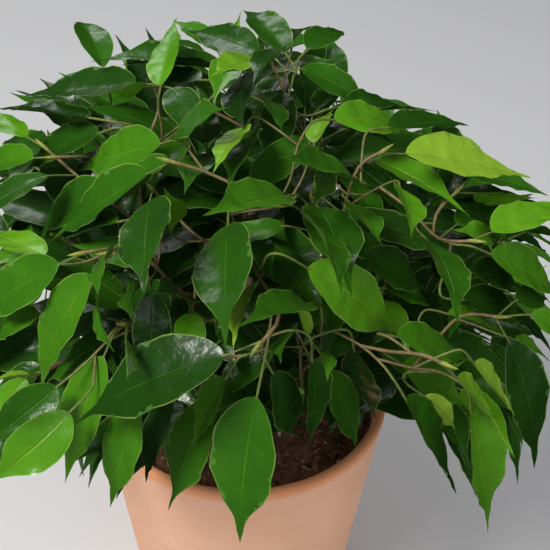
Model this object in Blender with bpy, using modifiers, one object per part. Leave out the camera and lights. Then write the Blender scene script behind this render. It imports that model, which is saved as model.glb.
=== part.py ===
"""A small weeping fig (Ficus benjamina) in a terracotta pot.

The pot and its soil are turned solids. Five stems stand in holes in the soil. Each stem carries branches,
side twigs and leaves, all fused into one solid. The origin is the centre of the pot's foot, +Z is up, and the
plant is seen from -Y.
"""

import math
import random

import bmesh
import bpy
import numpy as np
from mathutils import Matrix, Vector
from mathutils.bvhtree import BVHTree

# Pot
POT_HEIGHT = 0.125
LIP_RADIUS = 0.070
WALL = 0.0050
WALL_TAPER = 0.121
POT_FLOOR = 0.008
DRAIN_RADIUS = 0.006
FOOT_EDGE = 0.0016
INNER_CORNER = 0.003
LIP_STEPS = 4
POT_SIDES = 32

# Soil
FIT_GAP = 0.0003
SOIL_DROP = 0.012
SOIL_DOME = 0.005
SOIL_RELIEF = 0.00084
SOIL_RINGS = 5
SOIL_SIDES = 24
HOLE_DEPTH = 0.028

# Crown: an ellipsoid that most leaves lie near
CROWN_CENTRE = Vector((0.0, 0.0, POT_HEIGHT + 0.045))
CROWN_RADII = Vector((0.150, 0.130, 0.125))
CROWN_REACH = 0.148

# Stems, as the foot in the soil and the top, from the lip's plane
STEM_RADIUS = 0.0026
STEM_TIP_RADIUS = 0.0015
STEMS = (
    dict(foot=(-0.014, -0.012), top=(-0.048, -0.034, 0.075)),
    dict(foot=(0.014, -0.012), top=(0.050, -0.032, 0.078)),
    dict(foot=(0.015, 0.013), top=(0.046, 0.040, 0.082)),
    dict(foot=(-0.014, 0.014), top=(-0.046, 0.040, 0.080)),
    dict(foot=(0.001, 0.001), top=(0.003, 0.006, 0.120)),
)

# Branches
BRANCHES = 42
BRANCH_RADIUS = 0.0014
TWIG_RADIUS = 0.00095
LOWEST_SINE = -0.36
HIGHEST_SINE = 0.97
BRANCH_POINTS = 5
PLACE_SPACING = 0.007
LONG_STALK = 0.034
BARE_END = 0.003
LOAD_COST = 0.0004
AHEAD_COST = 0.6
OUTER_COST = 0.104

STALK_BENDS = ((0.6, 0.3, 0.3), (0.0, 0.15, 0.3), (0.6, 0.3, 0.0), (1.2, 0.5, 0.1), (-0.6, 0.4, 0.3))
SHARPEST_BEND = math.radians(70.0)
FEWEST_WAYS = 8
MOST_WAYS = 20
MOST_PLACES = 140
SHOWN_COST = 5.0
LITTLE_SHOWN = 0.006

# Leaves
PETIOLE = 0.010
PETIOLE_RADIUS = 0.00045
STALK_RADIUS = 0.00055
BLADE_THICKNESS = 0.0012
SLENDERNESS = 0.41
BLADE_ROOT = 0.0009
LEAST_SLENDERNESS = 0.33
MOST_CURL = 0.9
WIDEST_AT = 0.36
MOST_LEAVES = 246
LEAF_SPACING = 0.0135
LOWEST_LEAF = 0.12
OPEN_STEP = 8
AIR = 0.0005
SEAM = 0.0000001
SEED = 36

# The place that the outer leaves were read from, in pixels of a 550 by 550 picture
VIEW_POINT = Vector((0.014, -0.366, POT_HEIGHT + 0.330))
VIEW_PITCH = math.radians(35.62)
VIEW_ROLL = math.radians(-1.55)
VIEW_FOCAL = 1000.0
VIEW_MIDDLE = 275.0

# Leaves that show in that picture: the pixels of the blade's base and tip, how far out it lies (1 is the crown's
# ellipsoid), its length in metres, how many pixels wide it shows, and how many pixels its middle lies to the left
# of the line from base to tip
SEEN_LEAVES = (
    # Low in front, over the lip
    dict(base=(226, 355), tip=(75, 425), layer=1.30, length=0.064, width=65),
    dict(base=(257, 396), tip=(240, 543), layer=1.22, length=0.062, width=64),
    dict(base=(104, 356), tip=(65, 484), layer=1.06, length=0.058, width=44),
    dict(base=(58, 386), tip=(-18, 448), layer=1.10, width=44),
    dict(base=(70, 412), tip=(-15, 483), layer=1.10, width=48, bow=5),
    dict(base=(226, 378), tip=(193, 448), layer=1.15, length=0.040, width=26, bow=-7),
    dict(base=(138, 402), tip=(110, 508), layer=1.10, length=0.056, width=38, bow=-5),
    dict(base=(174, 400), tip=(146, 484), layer=1.05, length=0.048, width=24),
    dict(base=(210, 402), tip=(168, 511), layer=1.05, length=0.056, width=45, bow=-3),
    dict(base=(272, 372), tip=(289, 442), layer=1.12, length=0.044, width=30),
    dict(base=(312, 360), tip=(308, 446), layer=1.12, length=0.046, width=26),
    dict(base=(322, 372), tip=(355, 450), layer=1.02, length=0.048, width=30),
    dict(base=(354, 350), tip=(377, 421), layer=1.00, length=0.044, width=28, bow=-3),
    dict(base=(316, 348), tip=(327, 382), layer=1.12, length=0.026, width=14),
    dict(base=(126, 338), tip=(127, 382), layer=1.10, length=0.028, width=12, bow=3),
    # Right, low
    dict(base=(405, 398), tip=(457, 496), layer=1.20, length=0.060, width=24, bow=10),
    dict(base=(471, 411), tip=(488, 533), layer=1.22, length=0.064, width=34, bow=2),
    dict(base=(457, 378), tip=(497, 432), layer=1.30, length=0.040, width=10, bow=9),
    dict(base=(474, 364), tip=(515, 416), layer=1.22, length=0.040, width=14, bow=6),
    dict(base=(424, 396), tip=(455, 430), layer=1.10, length=0.026, width=20),
    dict(base=(402, 364), tip=(468, 408), layer=1.18, length=0.050, width=38, bow=2),
    dict(base=(398, 337), tip=(470, 362), layer=1.18, length=0.048, width=28),
    dict(base=(508, 340), tip=(534, 470), layer=1.06, length=0.066, width=38),
    dict(base=(448, 314), tip=(512, 342), layer=1.06, length=0.036, width=10),
    dict(base=(515, 340), tip=(550, 362), layer=1.06, length=0.026, width=9),
    # Middle
    dict(base=(307, 268), tip=(395, 338), layer=1.22, length=0.058, width=50),
    dict(base=(228, 224), tip=(226, 350), layer=1.18, length=0.060, width=58, bow=-3),
    dict(base=(304, 215), tip=(342, 300), layer=1.24, length=0.052, width=18),
    dict(base=(318, 207), tip=(352, 298), layer=1.13, length=0.058, width=54, bow=9),
    dict(base=(256, 282), tip=(233, 350), layer=1.12, length=0.042, width=22),
    dict(base=(202, 266), tip=(216, 337), layer=1.12, length=0.042, width=22),
    dict(base=(287, 238), tip=(224, 312), layer=1.10, length=0.054, width=44),
    dict(base=(309, 304), tip=(238, 327), layer=1.14, length=0.048, width=36),
    dict(base=(290, 330), tip=(281, 364), layer=1.06, length=0.036, width=24),
    dict(base=(322, 300), tip=(305, 352), layer=1.04, length=0.040, width=30),
    dict(base=(287, 196), tip=(202, 216), layer=1.14, length=0.056, width=40, bow=-10),
    dict(base=(150, 200), tip=(144, 296), layer=1.12, length=0.062, width=52, bow=-2),
    dict(base=(174, 226), tip=(163, 187), layer=1.05, length=0.030, width=22),
    dict(base=(140, 286), tip=(133, 322), layer=1.00, length=0.032, width=16),
    dict(base=(188, 302), tip=(148, 296), layer=1.00, length=0.040, width=20),
    # Left
    dict(base=(149, 173), tip=(47, 245), layer=1.14, length=0.064, width=30, bow=-4),
    dict(base=(60, 264), tip=(-25, 320), layer=1.14, length=0.056, width=44),
    dict(base=(44, 256), tip=(-25, 228), layer=1.12, length=0.046, width=24, bow=-3),
    dict(base=(93, 275), tip=(42, 392), layer=1.16, length=0.060, width=34, bow=-15),
    dict(base=(106, 342), tip=(45, 386), layer=1.10, length=0.050, width=22),
    dict(base=(98, 296), tip=(115, 353), layer=1.12, length=0.034, width=12),
    dict(base=(112, 252), tip=(98, 298), layer=1.10, length=0.034, width=16),
    dict(base=(118, 222), tip=(60, 243), layer=1.06, length=0.044, width=14),
    dict(base=(40, 315), tip=(-5, 342), layer=1.06, length=0.036, width=20),
    dict(base=(108, 184), tip=(40, 240), layer=1.04, length=0.052, width=30),
    dict(base=(161, 144), tip=(79, 171), layer=1.10, length=0.058, width=40, bow=-7),
    dict(base=(100, 133), tip=(22, 176), layer=1.02, length=0.054, width=26),
    dict(base=(34, 158), tip=(-32, 172), layer=1.02, length=0.044, width=24),
    # Right, high
    dict(base=(405, 154), tip=(532, 178), layer=1.10, length=0.068, width=38, bow=6),
    dict(base=(334, 120), tip=(411, 133), layer=1.10, length=0.050, width=28),
    dict(base=(354, 180), tip=(277, 156), layer=1.14, length=0.052, width=24, bow=-6),
    dict(base=(400, 188), tip=(411, 239), layer=1.10, length=0.042, width=28),
    dict(base=(492, 232), tip=(572, 202), layer=1.14, length=0.052, width=34),
    dict(base=(491, 239), tip=(452, 230), layer=1.10, length=0.030, width=22),
    dict(base=(490, 254), tip=(560, 300), layer=1.12, length=0.054, width=34),
    dict(base=(428, 241), tip=(458, 327), layer=1.16, length=0.054, width=36, bow=12),
    dict(base=(350, 203), tip=(383, 247), layer=1.04, length=0.038, width=22, bow=3),
    dict(base=(362, 258), tip=(428, 293), layer=1.06, length=0.050, width=36),
    dict(base=(385, 288), tip=(432, 312), layer=1.00, length=0.040, width=18),
    dict(base=(470, 272), tip=(525, 292), layer=1.04, length=0.046, width=26),
    dict(base=(462, 300), tip=(528, 325), layer=1.00, length=0.050, width=30),
    dict(base=(322, 150), tip=(312, 210), layer=1.06, length=0.046, width=28),
    # Top
    dict(base=(258, 58), tip=(208, 79), layer=1.12, length=0.042, width=21, bow=-4),
    dict(base=(283, 50), tip=(252, 88), layer=1.14, length=0.040, width=22),
    dict(base=(246, 126), tip=(213, 173), layer=1.14, length=0.038, width=20, bow=-5),
    dict(base=(176, 133), tip=(229, 107), layer=1.10, length=0.046, width=26, bow=6),
    dict(base=(211, 152), tip=(184, 195), layer=1.06, length=0.044, width=30),
    dict(base=(254, 132), tip=(228, 188), layer=1.06, length=0.046, width=30),
    dict(base=(315, 143), tip=(333, 110), layer=1.08, length=0.032, width=18),
    dict(base=(265, 98), tip=(282, 132), layer=1.04, length=0.036, width=20),
    dict(base=(244, 74), tip=(243, 130), layer=1.04, length=0.052, width=36, bow=-2),
    dict(base=(144, 87), tip=(108, 91), layer=1.12, length=0.028, width=16, bow=2),
    dict(base=(137, 84), tip=(24, 96), layer=1.06, length=0.060, width=30, bow=-5),
    dict(base=(200, 80), tip=(134, 76), layer=1.06, length=0.046, width=18, bow=-4),
    dict(base=(90, 118), tip=(-12, 108), layer=1.04, length=0.054, width=12, bow=-5),
    dict(base=(27, 137), tip=(-35, 112), layer=1.04, length=0.040, width=20),
    dict(base=(161, 86), tip=(177, 17), layer=1.10, length=0.044, width=26, bow=3),
    dict(base=(103, 68), tip=(73, 23), layer=1.06, length=0.044, width=28, bow=-10),
    dict(base=(308, 50), tip=(344, 33), layer=1.06, length=0.042, width=22, bow=8),
    dict(base=(388, 128), tip=(470, 126), layer=1.04, length=0.046, width=20),
    dict(base=(346, 106), tip=(410, 112), layer=1.04, length=0.044, width=16),
    dict(base=(258, 52), tip=(187, 31), layer=1.04, length=0.050, width=32),
    dict(base=(286, 54), tip=(242, 10), layer=1.04, length=0.050, width=30),
    dict(base=(305, 108), tip=(292, 72), layer=1.02, length=0.042, width=24),
    dict(base=(318, 110), tip=(341, 86), layer=1.02, length=0.036, width=18),
    dict(base=(475, 193), tip=(537, 198), layer=1.02, length=0.040, width=12, bow=-1),
)

# The crown's outline in that picture: leaves that fill the crown stay inside it
CROWN_OUTLINE = (
    (-90, 110), (0, 78), (30, 78), (60, 66), (74, 22), (120, 18), (180, 16), (215, 14), (245, 8), (280, 14),
    (345, 22), (362, 74), (410, 96), (470, 124), (536, 165), (600, 190), (620, 340), (540, 372), (536, 470),
    (490, 530), (452, 470), (398, 400), (352, 446), (292, 440), (228, 430), (150, 470), (110, 505), (68, 480),
    (-20, 486), (-90, 400),
)
# Holes in the crown where the background shows, as a middle and a radius
CROWN_WINDOWS = (
    dict(middle=(36, 118), radius=13),
    dict(middle=(66, 160), radius=12),
    dict(middle=(76, 276), radius=15),
    dict(middle=(46, 300), radius=9),
    dict(middle=(22, 312), radius=9),
    dict(middle=(16, 352), radius=15),
    dict(middle=(128, 268), radius=7),
    dict(middle=(480, 345), radius=13),
    dict(middle=(400, 440), radius=30),
)


def clear_scene():
    """An empty file to build in."""
    for thing in list(bpy.data.objects):
        bpy.data.objects.remove(thing, do_unlink=True)


def principled(name, colour, roughness):
    """A material of one colour and roughness."""
    material = bpy.data.materials.new(name)
    material.use_nodes = True
    shader = material.node_tree.nodes["Principled BSDF"]
    shader.inputs["Base Color"].default_value = (*colour, 1.0)
    shader.inputs["Roughness"].default_value = roughness
    material.diffuse_color = (*colour, 1.0)
    return material


# The view that the outer leaves were read from


def view_axes():
    """The picture's rightward and downward directions and the way it looks."""
    forward = Vector((0.0, math.cos(VIEW_PITCH), -math.sin(VIEW_PITCH)))
    right = Vector((1.0, 0.0, 0.0))
    down = forward.cross(right)
    cosine, sine = math.cos(VIEW_ROLL), math.sin(VIEW_ROLL)
    return right * cosine + down * sine, down * cosine - right * sine, forward


VIEW_RIGHT, VIEW_DOWN, VIEW_FORWARD = view_axes()


def ray_through(pixel):
    """The direction from the view point through a pixel."""
    across = (pixel[0] - VIEW_MIDDLE) / VIEW_FOCAL
    below = (pixel[1] - VIEW_MIDDLE) / VIEW_FOCAL
    return (VIEW_FORWARD + VIEW_RIGHT * across + VIEW_DOWN * below).normalized()


def pixel_of(point):
    """Where a point shows in the picture."""
    offset = point - VIEW_POINT
    depth = offset.dot(VIEW_FORWARD)
    return (
        VIEW_MIDDLE + VIEW_FOCAL * offset.dot(VIEW_RIGHT) / depth,
        VIEW_MIDDLE + VIEW_FOCAL * offset.dot(VIEW_DOWN) / depth,
    )


def in_polygon(pixel, corners):
    """Whether a pixel is inside a closed outline."""
    inside = False
    for (x0, y0), (x1, y1) in zip(corners, corners[1:] + corners[:1]):
        if (y0 > pixel[1]) != (y1 > pixel[1]):
            if pixel[0] < x0 + (pixel[1] - y0) * (x1 - x0) / (y1 - y0):
                inside = not inside
    return inside


def in_window(pixel):
    """Whether a pixel is in one of the crown's holes."""
    for window in CROWN_WINDOWS:
        if math.dist(pixel, window["middle"]) < window["radius"]:
            return True
    return False


# The crown's ellipsoid


def crown_offset(point):
    """A point's place as a share of the crown's radii."""
    offset = point - CROWN_CENTRE
    return Vector(offset[axis] / CROWN_RADII[axis] for axis in range(3))


def crown_level(point):
    """How far out a point lies: 1 is the crown's ellipsoid."""
    return crown_offset(point).length


def crown_outward(point):
    """The way out of the crown at a point."""
    offset = crown_offset(point)
    return Vector(offset[axis] / CROWN_RADII[axis] for axis in range(3)).normalized()


def on_crown(pixel, layer):
    """The point of a layer of the crown that a pixel shows, or the nearest one where it shows none."""
    direction = ray_through(pixel)
    start = crown_offset(VIEW_POINT)
    way = Vector(direction[axis] / CROWN_RADII[axis] for axis in range(3))
    nearest = -start.dot(way) / way.dot(way)
    missed_by = start.dot(start) - start.dot(way) ** 2 / way.dot(way)
    back = math.sqrt(max(0.0, (layer * layer - missed_by) / way.dot(way)))
    return VIEW_POINT + direction * (nearest - back)


# Leaves


def outline(s):
    """A blade's width at a share s of its length, 1 at its widest: rounded below, with a long drip tip."""
    if s < WIDEST_AT:
        return max(0.0, 1.0 - ((WIDEST_AT - s) / WIDEST_AT) ** 2.1) ** 0.72
    past = (s - WIDEST_AT) / (1.0 - WIDEST_AT)
    narrowing = min(1.0, max(0.0, (s - 0.50) / 0.36))
    narrowing = narrowing * narrowing * (3.0 - 2.0 * narrowing)
    return (1.0 - past**1.9) * (1.0 - 0.66 * narrowing)


class Leaf:
    """A blade from base to tip that faces a direction, bends down along its length and folds at the midrib."""

    def __init__(self, base, tip, facing, character, stem=0):
        chord = tip - base
        forward = chord.normalized()
        facing = (facing - forward * facing.dot(forward)).normalized()
        curl = character["curl"]
        rise = math.atan2(curl / 2.0, 1.0 - curl * curl / 6.0)
        self.base = base
        self.tip = tip
        self.along = forward * math.cos(rise) + facing * math.sin(rise)
        self.up = facing * math.cos(rise) - forward * math.sin(rise)
        self.side = self.up.cross(self.along)
        self.length = chord.length / math.hypot(curl / 2.0, 1.0 - curl * curl / 6.0)
        self.width = self.length * character["slenderness"]
        self.curl = curl
        self.fold = character["fold"]
        self.twist = character["twist"]
        self.wave = character["wave"]
        self.phase = character["phase"]
        self.stem = stem
        self.stalk = None
        self.stalk_radius = PETIOLE_RADIUS
        self.large = False

    def point(self, s, t):
        """The point of the blade at s from base to tip and t from one margin (-1) to the other (1)."""
        half = 0.5 * self.width * outline(s)
        ahead = self.length * (s - self.curl**2 * s**3 / 6.0)
        drop = self.length * self.curl * s * s / 2.0
        across = t * half * math.cos(self.fold)
        ripple = self.wave * self.width * math.sin(2.0 * math.pi * (1.4 * s + self.phase) + t)
        lift = abs(t) ** 1.3 * half * math.sin(self.fold) + t * t * ripple * math.sin(math.pi * s)
        turned = self.twist * s
        sideways = across * math.cos(turned) - lift * math.sin(turned)
        upwards = across * math.sin(turned) + lift * math.cos(turned)
        return self.base + self.along * ahead + self.side * sideways + self.up * (upwards - drop)

    def normal(self, s):
        """The way that the upper face looks at the midrib."""
        bend = self.curl * s
        return self.up * math.cos(bend) + self.along * math.sin(bend)

    def ring(self, s, thickness):
        """Four points round the blade: a margin, the top of the midrib, the other margin, below the midrib."""
        middle = self.point(s, 0.0)
        offset = self.normal(s) * thickness / 2.0
        return [self.point(s, -1.0), middle + offset, self.point(s, 1.0), middle - offset]

    def body(self, stations, thickness):
        """Rings of points round the blade, from its base towards its tip."""
        offset = self.up * thickness / 2.0
        left, right = self.base - self.side * BLADE_ROOT, self.base + self.side * BLADE_ROOT
        rings = [[left, self.base + offset, right, self.base - offset]]
        rings += [self.ring(s, thickness) for s in stations]
        return rings

    def own_tree(self):
        """The blade as a tree of triangles, to test what passes near it."""
        return BVHTree.FromPolygons(*leaf_solid(self, TEST_STATIONS, BLADE_THICKNESS, False))

    def bounds(self):
        """A ball round the blade."""
        middle = self.point(0.45, 0.0)
        return middle, max((self.base - middle).length, (self.tip - middle).length) + 0.001


def stalk_rings(leaf):
    """Three points round the stalk at each of its points but the last, where the blade begins."""
    rings = []
    sideways = leaf.side
    ways = [(after - place).normalized() for place, after in zip(leaf.stalk, leaf.stalk[1:])]
    mitres = ways[:1] + [(before + after).normalized() for before, after in zip(ways, ways[1:])]
    for place, way in reversed(list(zip(leaf.stalk, mitres))):
        sideways = (sideways - way * sideways.dot(way)).normalized()
        upwards = way.cross(sideways)
        radius = leaf.stalk_radius
        corners = [(-0.87, -0.5), (0.0, 1.0), (0.87, -0.5)]
        rings.insert(0, [place + (sideways * across + upwards * above) * radius for across, above in corners])
    return rings


def leaf_solid(leaf, stations, thickness, with_stalk):
    """Points and triangles of a closed leaf. The stalk's root is sunk in what carries it."""
    rings = leaf.body(stations, thickness)
    stalk = stalk_rings(leaf) if with_stalk else []
    points = [corner for ring in stalk + rings for corner in ring] + [leaf.tip]
    faces = [(0, 1, 2)] if with_stalk else [(0, 1, 2), (0, 2, 3)]
    for start in range(0, 3 * (len(stalk) - 1), 3):
        left, top, right = range(start, start + 3)
        faces += [(left, left + 3, top + 3), (left, top + 3, top)]
        faces += [(right, top, top + 3), (right, top + 3, right + 3)]
        faces += [(left, right, right + 3), (left, right + 3, left + 3)]
    first = 3 * len(stalk)
    if with_stalk:
        left, top, right = range(first - 3, first)
        margin, upper, other, below = range(first, first + 4)
        faces += [(left, margin, upper), (left, upper, top), (top, upper, other), (top, other, right)]
        faces += [(left, below, margin), (right, other, below), (left, right, below)]
    for start in range(first, first + 4 * (len(rings) - 1), 4):
        margin, top, other, below = range(start, start + 4)
        faces += [(margin, margin + 4, top + 4), (margin, top + 4, top)]
        faces += [(other, top, top + 4), (other, top + 4, other + 4)]
        faces += [(margin, below, below + 4), (margin, below + 4, margin + 4)]
        faces += [(other, other + 4, below + 4), (other, below + 4, below)]
    margin, top, other, below = range(first + 4 * (len(rings) - 1), first + 4 * len(rings))
    tip = len(points) - 1
    faces += [(margin, tip, top), (top, tip, other), (other, tip, below), (below, tip, margin)]
    return points, faces


LARGE_STATIONS = (0.22, 0.54, 0.83)
SMALL_STATIONS = (0.34, 0.78)
TEST_STATIONS = (0.15, 0.30, 0.50, 0.70, 0.86)


def random_character(rng):
    """How one leaf differs from the next."""
    return dict(
        curl=rng.uniform(0.2, 0.6),
        slenderness=SLENDERNESS * rng.uniform(0.84, 1.02),
        fold=math.radians(rng.uniform(8.0, 22.0)),
        twist=math.radians(rng.uniform(-9.0, 9.0)),
        wave=rng.uniform(0.02, 0.07),
        phase=rng.random(),
    )


# Twigs


class Twig:
    """A stem, branch or side twig: points from its root to its tip, with a radius at each."""

    def __init__(self, points, first_radius, last_radius, stem):
        self.points = points
        last = len(points) - 1
        self.radii = [first_radius + (last_radius - first_radius) * i / last for i in range(len(points))]
        self.stem = stem
        self.lengths = [(b - a).length for a, b in zip(points, points[1:])]
        self.length = sum(self.lengths)
        self.used = 0.0

    def at(self, share):
        """The point, direction and radius at a share of the length."""
        left = min(max(share, 0.0), 0.9999) * self.length
        for index, length in enumerate(self.lengths):
            if left <= length or index == len(self.lengths) - 1:
                part = left / length
                start, end = self.points[index], self.points[index + 1]
                radius = self.radii[index] + (self.radii[index + 1] - self.radii[index]) * part
                return start.lerp(end, part), (end - start).normalized(), radius
            left -= length

    def bear(self, share):
        """Something grows from the twig at a share of its length."""
        self.used = max(self.used, share)

    def trim(self):
        """Cuts off the bare end, a little past the last thing that grows from the twig."""
        end, _, radius = self.at(self.used + BARE_END / self.length)
        if self.used + BARE_END / self.length > 1.0:
            return
        kept, passed = 1, 0.0
        for length in self.lengths:
            passed += length
            if passed > self.used * self.length:
                break
            kept += 1
        self.points = self.points[:kept] + [end]
        self.radii = self.radii[:kept] + [radius]
        self.lengths = [(b - a).length for a, b in zip(self.points, self.points[1:])]
        self.length = sum(self.lengths)

    def beads(self, spacing=0.002):
        """Balls that cover the twig."""
        count = max(2, math.ceil(self.length / spacing))
        return [self.at(i / count)[::2] for i in range(count + 1)]


def bezier(start, first, second, end, count):
    """Points along a cubic curve."""
    points = []
    for index in range(count):
        t = index / (count - 1)
        u = 1.0 - t
        points.append(start * u**3 + first * (3 * u * u * t) + second * (3 * u * t * t) + end * t**3)
    return points


# What space is taken


def pot_inner_radius(z):
    """The pot's inside radius at a height."""
    return LIP_RADIUS - WALL - WALL_TAPER * (POT_HEIGHT - z)


def soil_level(x, y):
    """The soil's surface: a low dome with a lumpy relief."""
    distance = math.hypot(x, y)
    edge = pot_inner_radius(POT_HEIGHT - SOIL_DROP)
    dome = SOIL_DOME * (1.0 - (distance / edge) ** 2)
    lumps = math.sin(310 * x + 1.3) * math.cos(270 * y) + 0.7 * math.sin(520 * y + 390 * x)
    return POT_HEIGHT - SOIL_DROP + dome + SOIL_RELIEF * lumps


def in_pot(point, air):
    """Whether a point is in the pot's wall or in the soil."""
    x, y, z = point
    if z > POT_HEIGHT + air:
        return False
    distance = math.hypot(x, y)
    inner = pot_inner_radius(min(z, POT_HEIGHT))
    if distance < inner - air:
        return z < soil_level(x, y) + air
    return distance < inner + WALL + air


class Space:
    """The blades and twigs placed so far, to keep new ones clear of them."""

    def __init__(self):
        self.blades = []
        self.middles = np.zeros((0, 3))
        self.sizes = np.zeros(0)
        self.bead_middles = np.zeros((0, 3))
        self.bead_radii = np.zeros(0)
        self.bead_stems = np.zeros(0, int)

    def near_blades(self, middle, size):
        if not len(self.blades):
            return []
        distances = np.linalg.norm(self.middles - np.array(middle), axis=1)
        return [self.blades[i] for i in np.flatnonzero(distances < self.sizes + size)]

    def near_beads(self, middle, size):
        if not len(self.bead_radii):
            return []
        distances = np.linalg.norm(self.bead_middles - np.array(middle), axis=1)
        return np.flatnonzero(distances < self.bead_radii + size)

    def add_leaf(self, leaf):
        middle, size = leaf.bounds()
        self.blades.append(leaf.own_tree())
        self.middles = np.vstack([self.middles, np.array(middle)])
        self.sizes = np.append(self.sizes, size)

    def add_twig(self, twig):
        beads = twig.beads()
        self.bead_middles = np.vstack([self.bead_middles, np.array([tuple(bead[0]) for bead in beads])])
        self.bead_radii = np.append(self.bead_radii, [bead[1] for bead in beads])
        self.bead_stems = np.append(self.bead_stems, [twig.stem] * len(beads))

    def leaf_is_free(self, leaf):
        """Whether a blade is clear of blades, twigs, pot and soil, and within the crown's reach."""
        for s in (0.0, 0.1, 0.2, 0.3, 0.4, 0.5, 0.6, 0.7, 0.8, 0.9, 1.0):
            for t in (-1.0, 0.0, 1.0):
                point = leaf.point(s, t)
                if max(abs(point.x), abs(point.y)) > CROWN_REACH or in_pot(point, 0.002):
                    return False
        points, faces = leaf_solid(leaf, TEST_STATIONS, BLADE_THICKNESS + 2.0 * AIR, False)
        tree = BVHTree.FromPolygons(points, faces)
        middle, size = leaf.bounds()
        for blade in self.near_blades(middle, size):
            if blade.overlap(tree):
                return False
        for bead in self.near_beads(middle, size):
            found = tree.find_nearest(Vector(self.bead_middles[bead]), self.bead_radii[bead] + AIR / 2.0)
            if found[0] is not None:
                return False
        return True

    def path_is_free(self, twig, root_length, own_blade=None):
        """Whether a twig is clear of all but its own blade and, over its first root_length, its own stem."""
        start, end = twig.points[0], twig.points[-1]
        for place, radius in twig.beads():
            if in_pot(place, radius + AIR):
                return False
            at_root = (place - start).length < root_length
            if own_blade and (place - end).length > 0.004:
                if own_blade.find_nearest(place, radius + AIR)[0] is not None:
                    return False
            for blade in self.near_blades(place, radius + AIR):
                if blade.find_nearest(place, radius + AIR)[0] is not None:
                    return False
            for bead in self.near_beads(place, radius + AIR):
                if not (at_root and self.bead_stems[bead] == twig.stem):
                    return False
        return True


# Growth


def seen_leaf(entry, layer, character):
    """A leaf that covers the pixels of an entry, at one layer of the crown."""
    base = on_crown(entry["base"], layer)
    direction = ray_through(entry["tip"])
    middle = (base - VIEW_POINT).dot(direction)
    apart = (VIEW_POINT + direction * middle - base).length
    length = max(entry.get("length", min(max(1.12 * apart, 0.026), 0.066)), 1.02 * apart)
    reach = math.sqrt(max(0.0, length * length - apart * apart))
    tips = [VIEW_POINT + direction * (middle + reach * way) for way in (-1.0, 1.0)]
    tip = min(tips, key=lambda place: abs(crown_level(place) - layer - 0.06))
    return shown_as(entry, base, tip, length, character)


def shown_as(entry, base, tip, length, character):
    """A leaf between two points that shows as wide as its entry says, and bows as the entry says."""
    half_way = (base + tip) / 2.0
    to_view = VIEW_POINT - half_way
    metres = to_view.length / VIEW_FOCAL
    chord = (tip - base).normalized()
    towards = (to_view - chord * to_view.dot(chord)).normalized()
    leftward = towards.cross(chord)
    shown = entry["width"] * metres
    bow = entry.get("bow", 0) * metres
    slenderness = min(max(1.2 * shown / length, LEAST_SLENDERNESS), SLENDERNESS)
    width = max(slenderness * length, shown)
    lift = 0.5 * width * math.sin(character["fold"])
    deepest = MOST_CURL * length / 8.0 + lift
    turn = max(math.acos(min(1.0, shown / width)), math.asin(min(0.9, abs(bow) / deepest)))
    width = max(width, min(shown / math.cos(turn), 0.5 * length))
    natural = leftward.dot(crown_outward(half_way) + Vector((0.0, 0.0, 1.0)))
    turn = math.copysign(turn, bow or natural)
    curl = character["curl"]
    if bow:
        curl = min(max(8.0 * (bow / math.sin(turn) - lift) / length, 0.1), MOST_CURL)
    facing = towards * math.cos(turn) + leftward * math.sin(turn)
    return Leaf(base, tip, facing, dict(character, slenderness=width / length, curl=curl))


def grow_stems(space):
    """The main stems: upright in their holes, then spreading."""
    stems = []
    for index, place in enumerate(STEMS):
        foot = Vector((*place["foot"], POT_HEIGHT - SOIL_DROP))
        top = Vector(place["top"]) + Vector((0.0, 0.0, POT_HEIGHT))
        foot.z = soil_level(foot.x, foot.y)
        bottom = foot - Vector((0.0, 0.0, HOLE_DEPTH - FIT_GAP))
        collar = foot + Vector((0.0, 0.0, 0.004))
        rise = top.z - collar.z
        curve = bezier(collar, collar + Vector((0, 0, rise * 0.4)), top - Vector((0, 0, rise * 0.3)), top, 7)
        stem = Twig([bottom] + curve, STEM_RADIUS, STEM_TIP_RADIUS, index)
        stems.append(stem)
        space.add_twig(stem)
    return stems


def grow_branches(space, stems, load, rng):
    """Branches from the stems to places spread evenly over the crown."""
    branches = []
    for index in range(BRANCHES):
        for attempt in range(30):
            loose = attempt / 30.0
            sine = LOWEST_SINE + (HIGHEST_SINE - LOWEST_SINE) * (index + 0.5) / BRANCHES
            sine += rng.uniform(-0.06, 0.06) * loose
            azimuth = index * math.pi * (3.0 - math.sqrt(5.0)) + rng.uniform(-0.35, 0.35) * loose
            flat = math.sqrt(1.0 - sine * sine)
            way = Vector((math.cos(azimuth) * flat, math.sin(azimuth) * flat, sine))
            reach = rng.uniform(0.76, 0.90) - 0.15 * loose
            tip = CROWN_CENTRE + Vector(way[axis] * CROWN_RADII[axis] * reach for axis in range(3))
            stem = min(stems, key=lambda one: (one.points[-1] - tip).length + 6.0 * LOAD_COST * load[one.stem])
            height = 0.50 + 0.45 * (sine - LOWEST_SINE) / (1.0 - LOWEST_SINE) + rng.uniform(-0.05, 0.05)
            start = stem.at(height)[0]
            span = (tip - start).length
            outward = Vector((way.x, way.y, 0.25)).normalized()
            droop = Vector((way.x, way.y, 0.75 * sine - 0.15)).normalized()
            lift = Vector((0.0, 0.0, span * rng.uniform(0.05, 0.25)))
            first = start + outward * span * 0.35 + lift
            curve = bezier(start, first, tip - droop * span * 0.35, tip, BRANCH_POINTS)
            branch = Twig(curve, BRANCH_RADIUS, TWIG_RADIUS, stem.stem)
            if space.path_is_free(branch, 0.008):
                branches.append(branch)
                space.add_twig(branch)
                load[stem.stem] += 1
                break
    return branches


def sharpest_bend(points):
    """The largest angle between neighbouring steps of a path."""
    ways = [(after - place).normalized() for place, after in zip(points, points[1:])]
    return max(before.angle(after) for before, after in zip(ways, ways[1:]))


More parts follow.
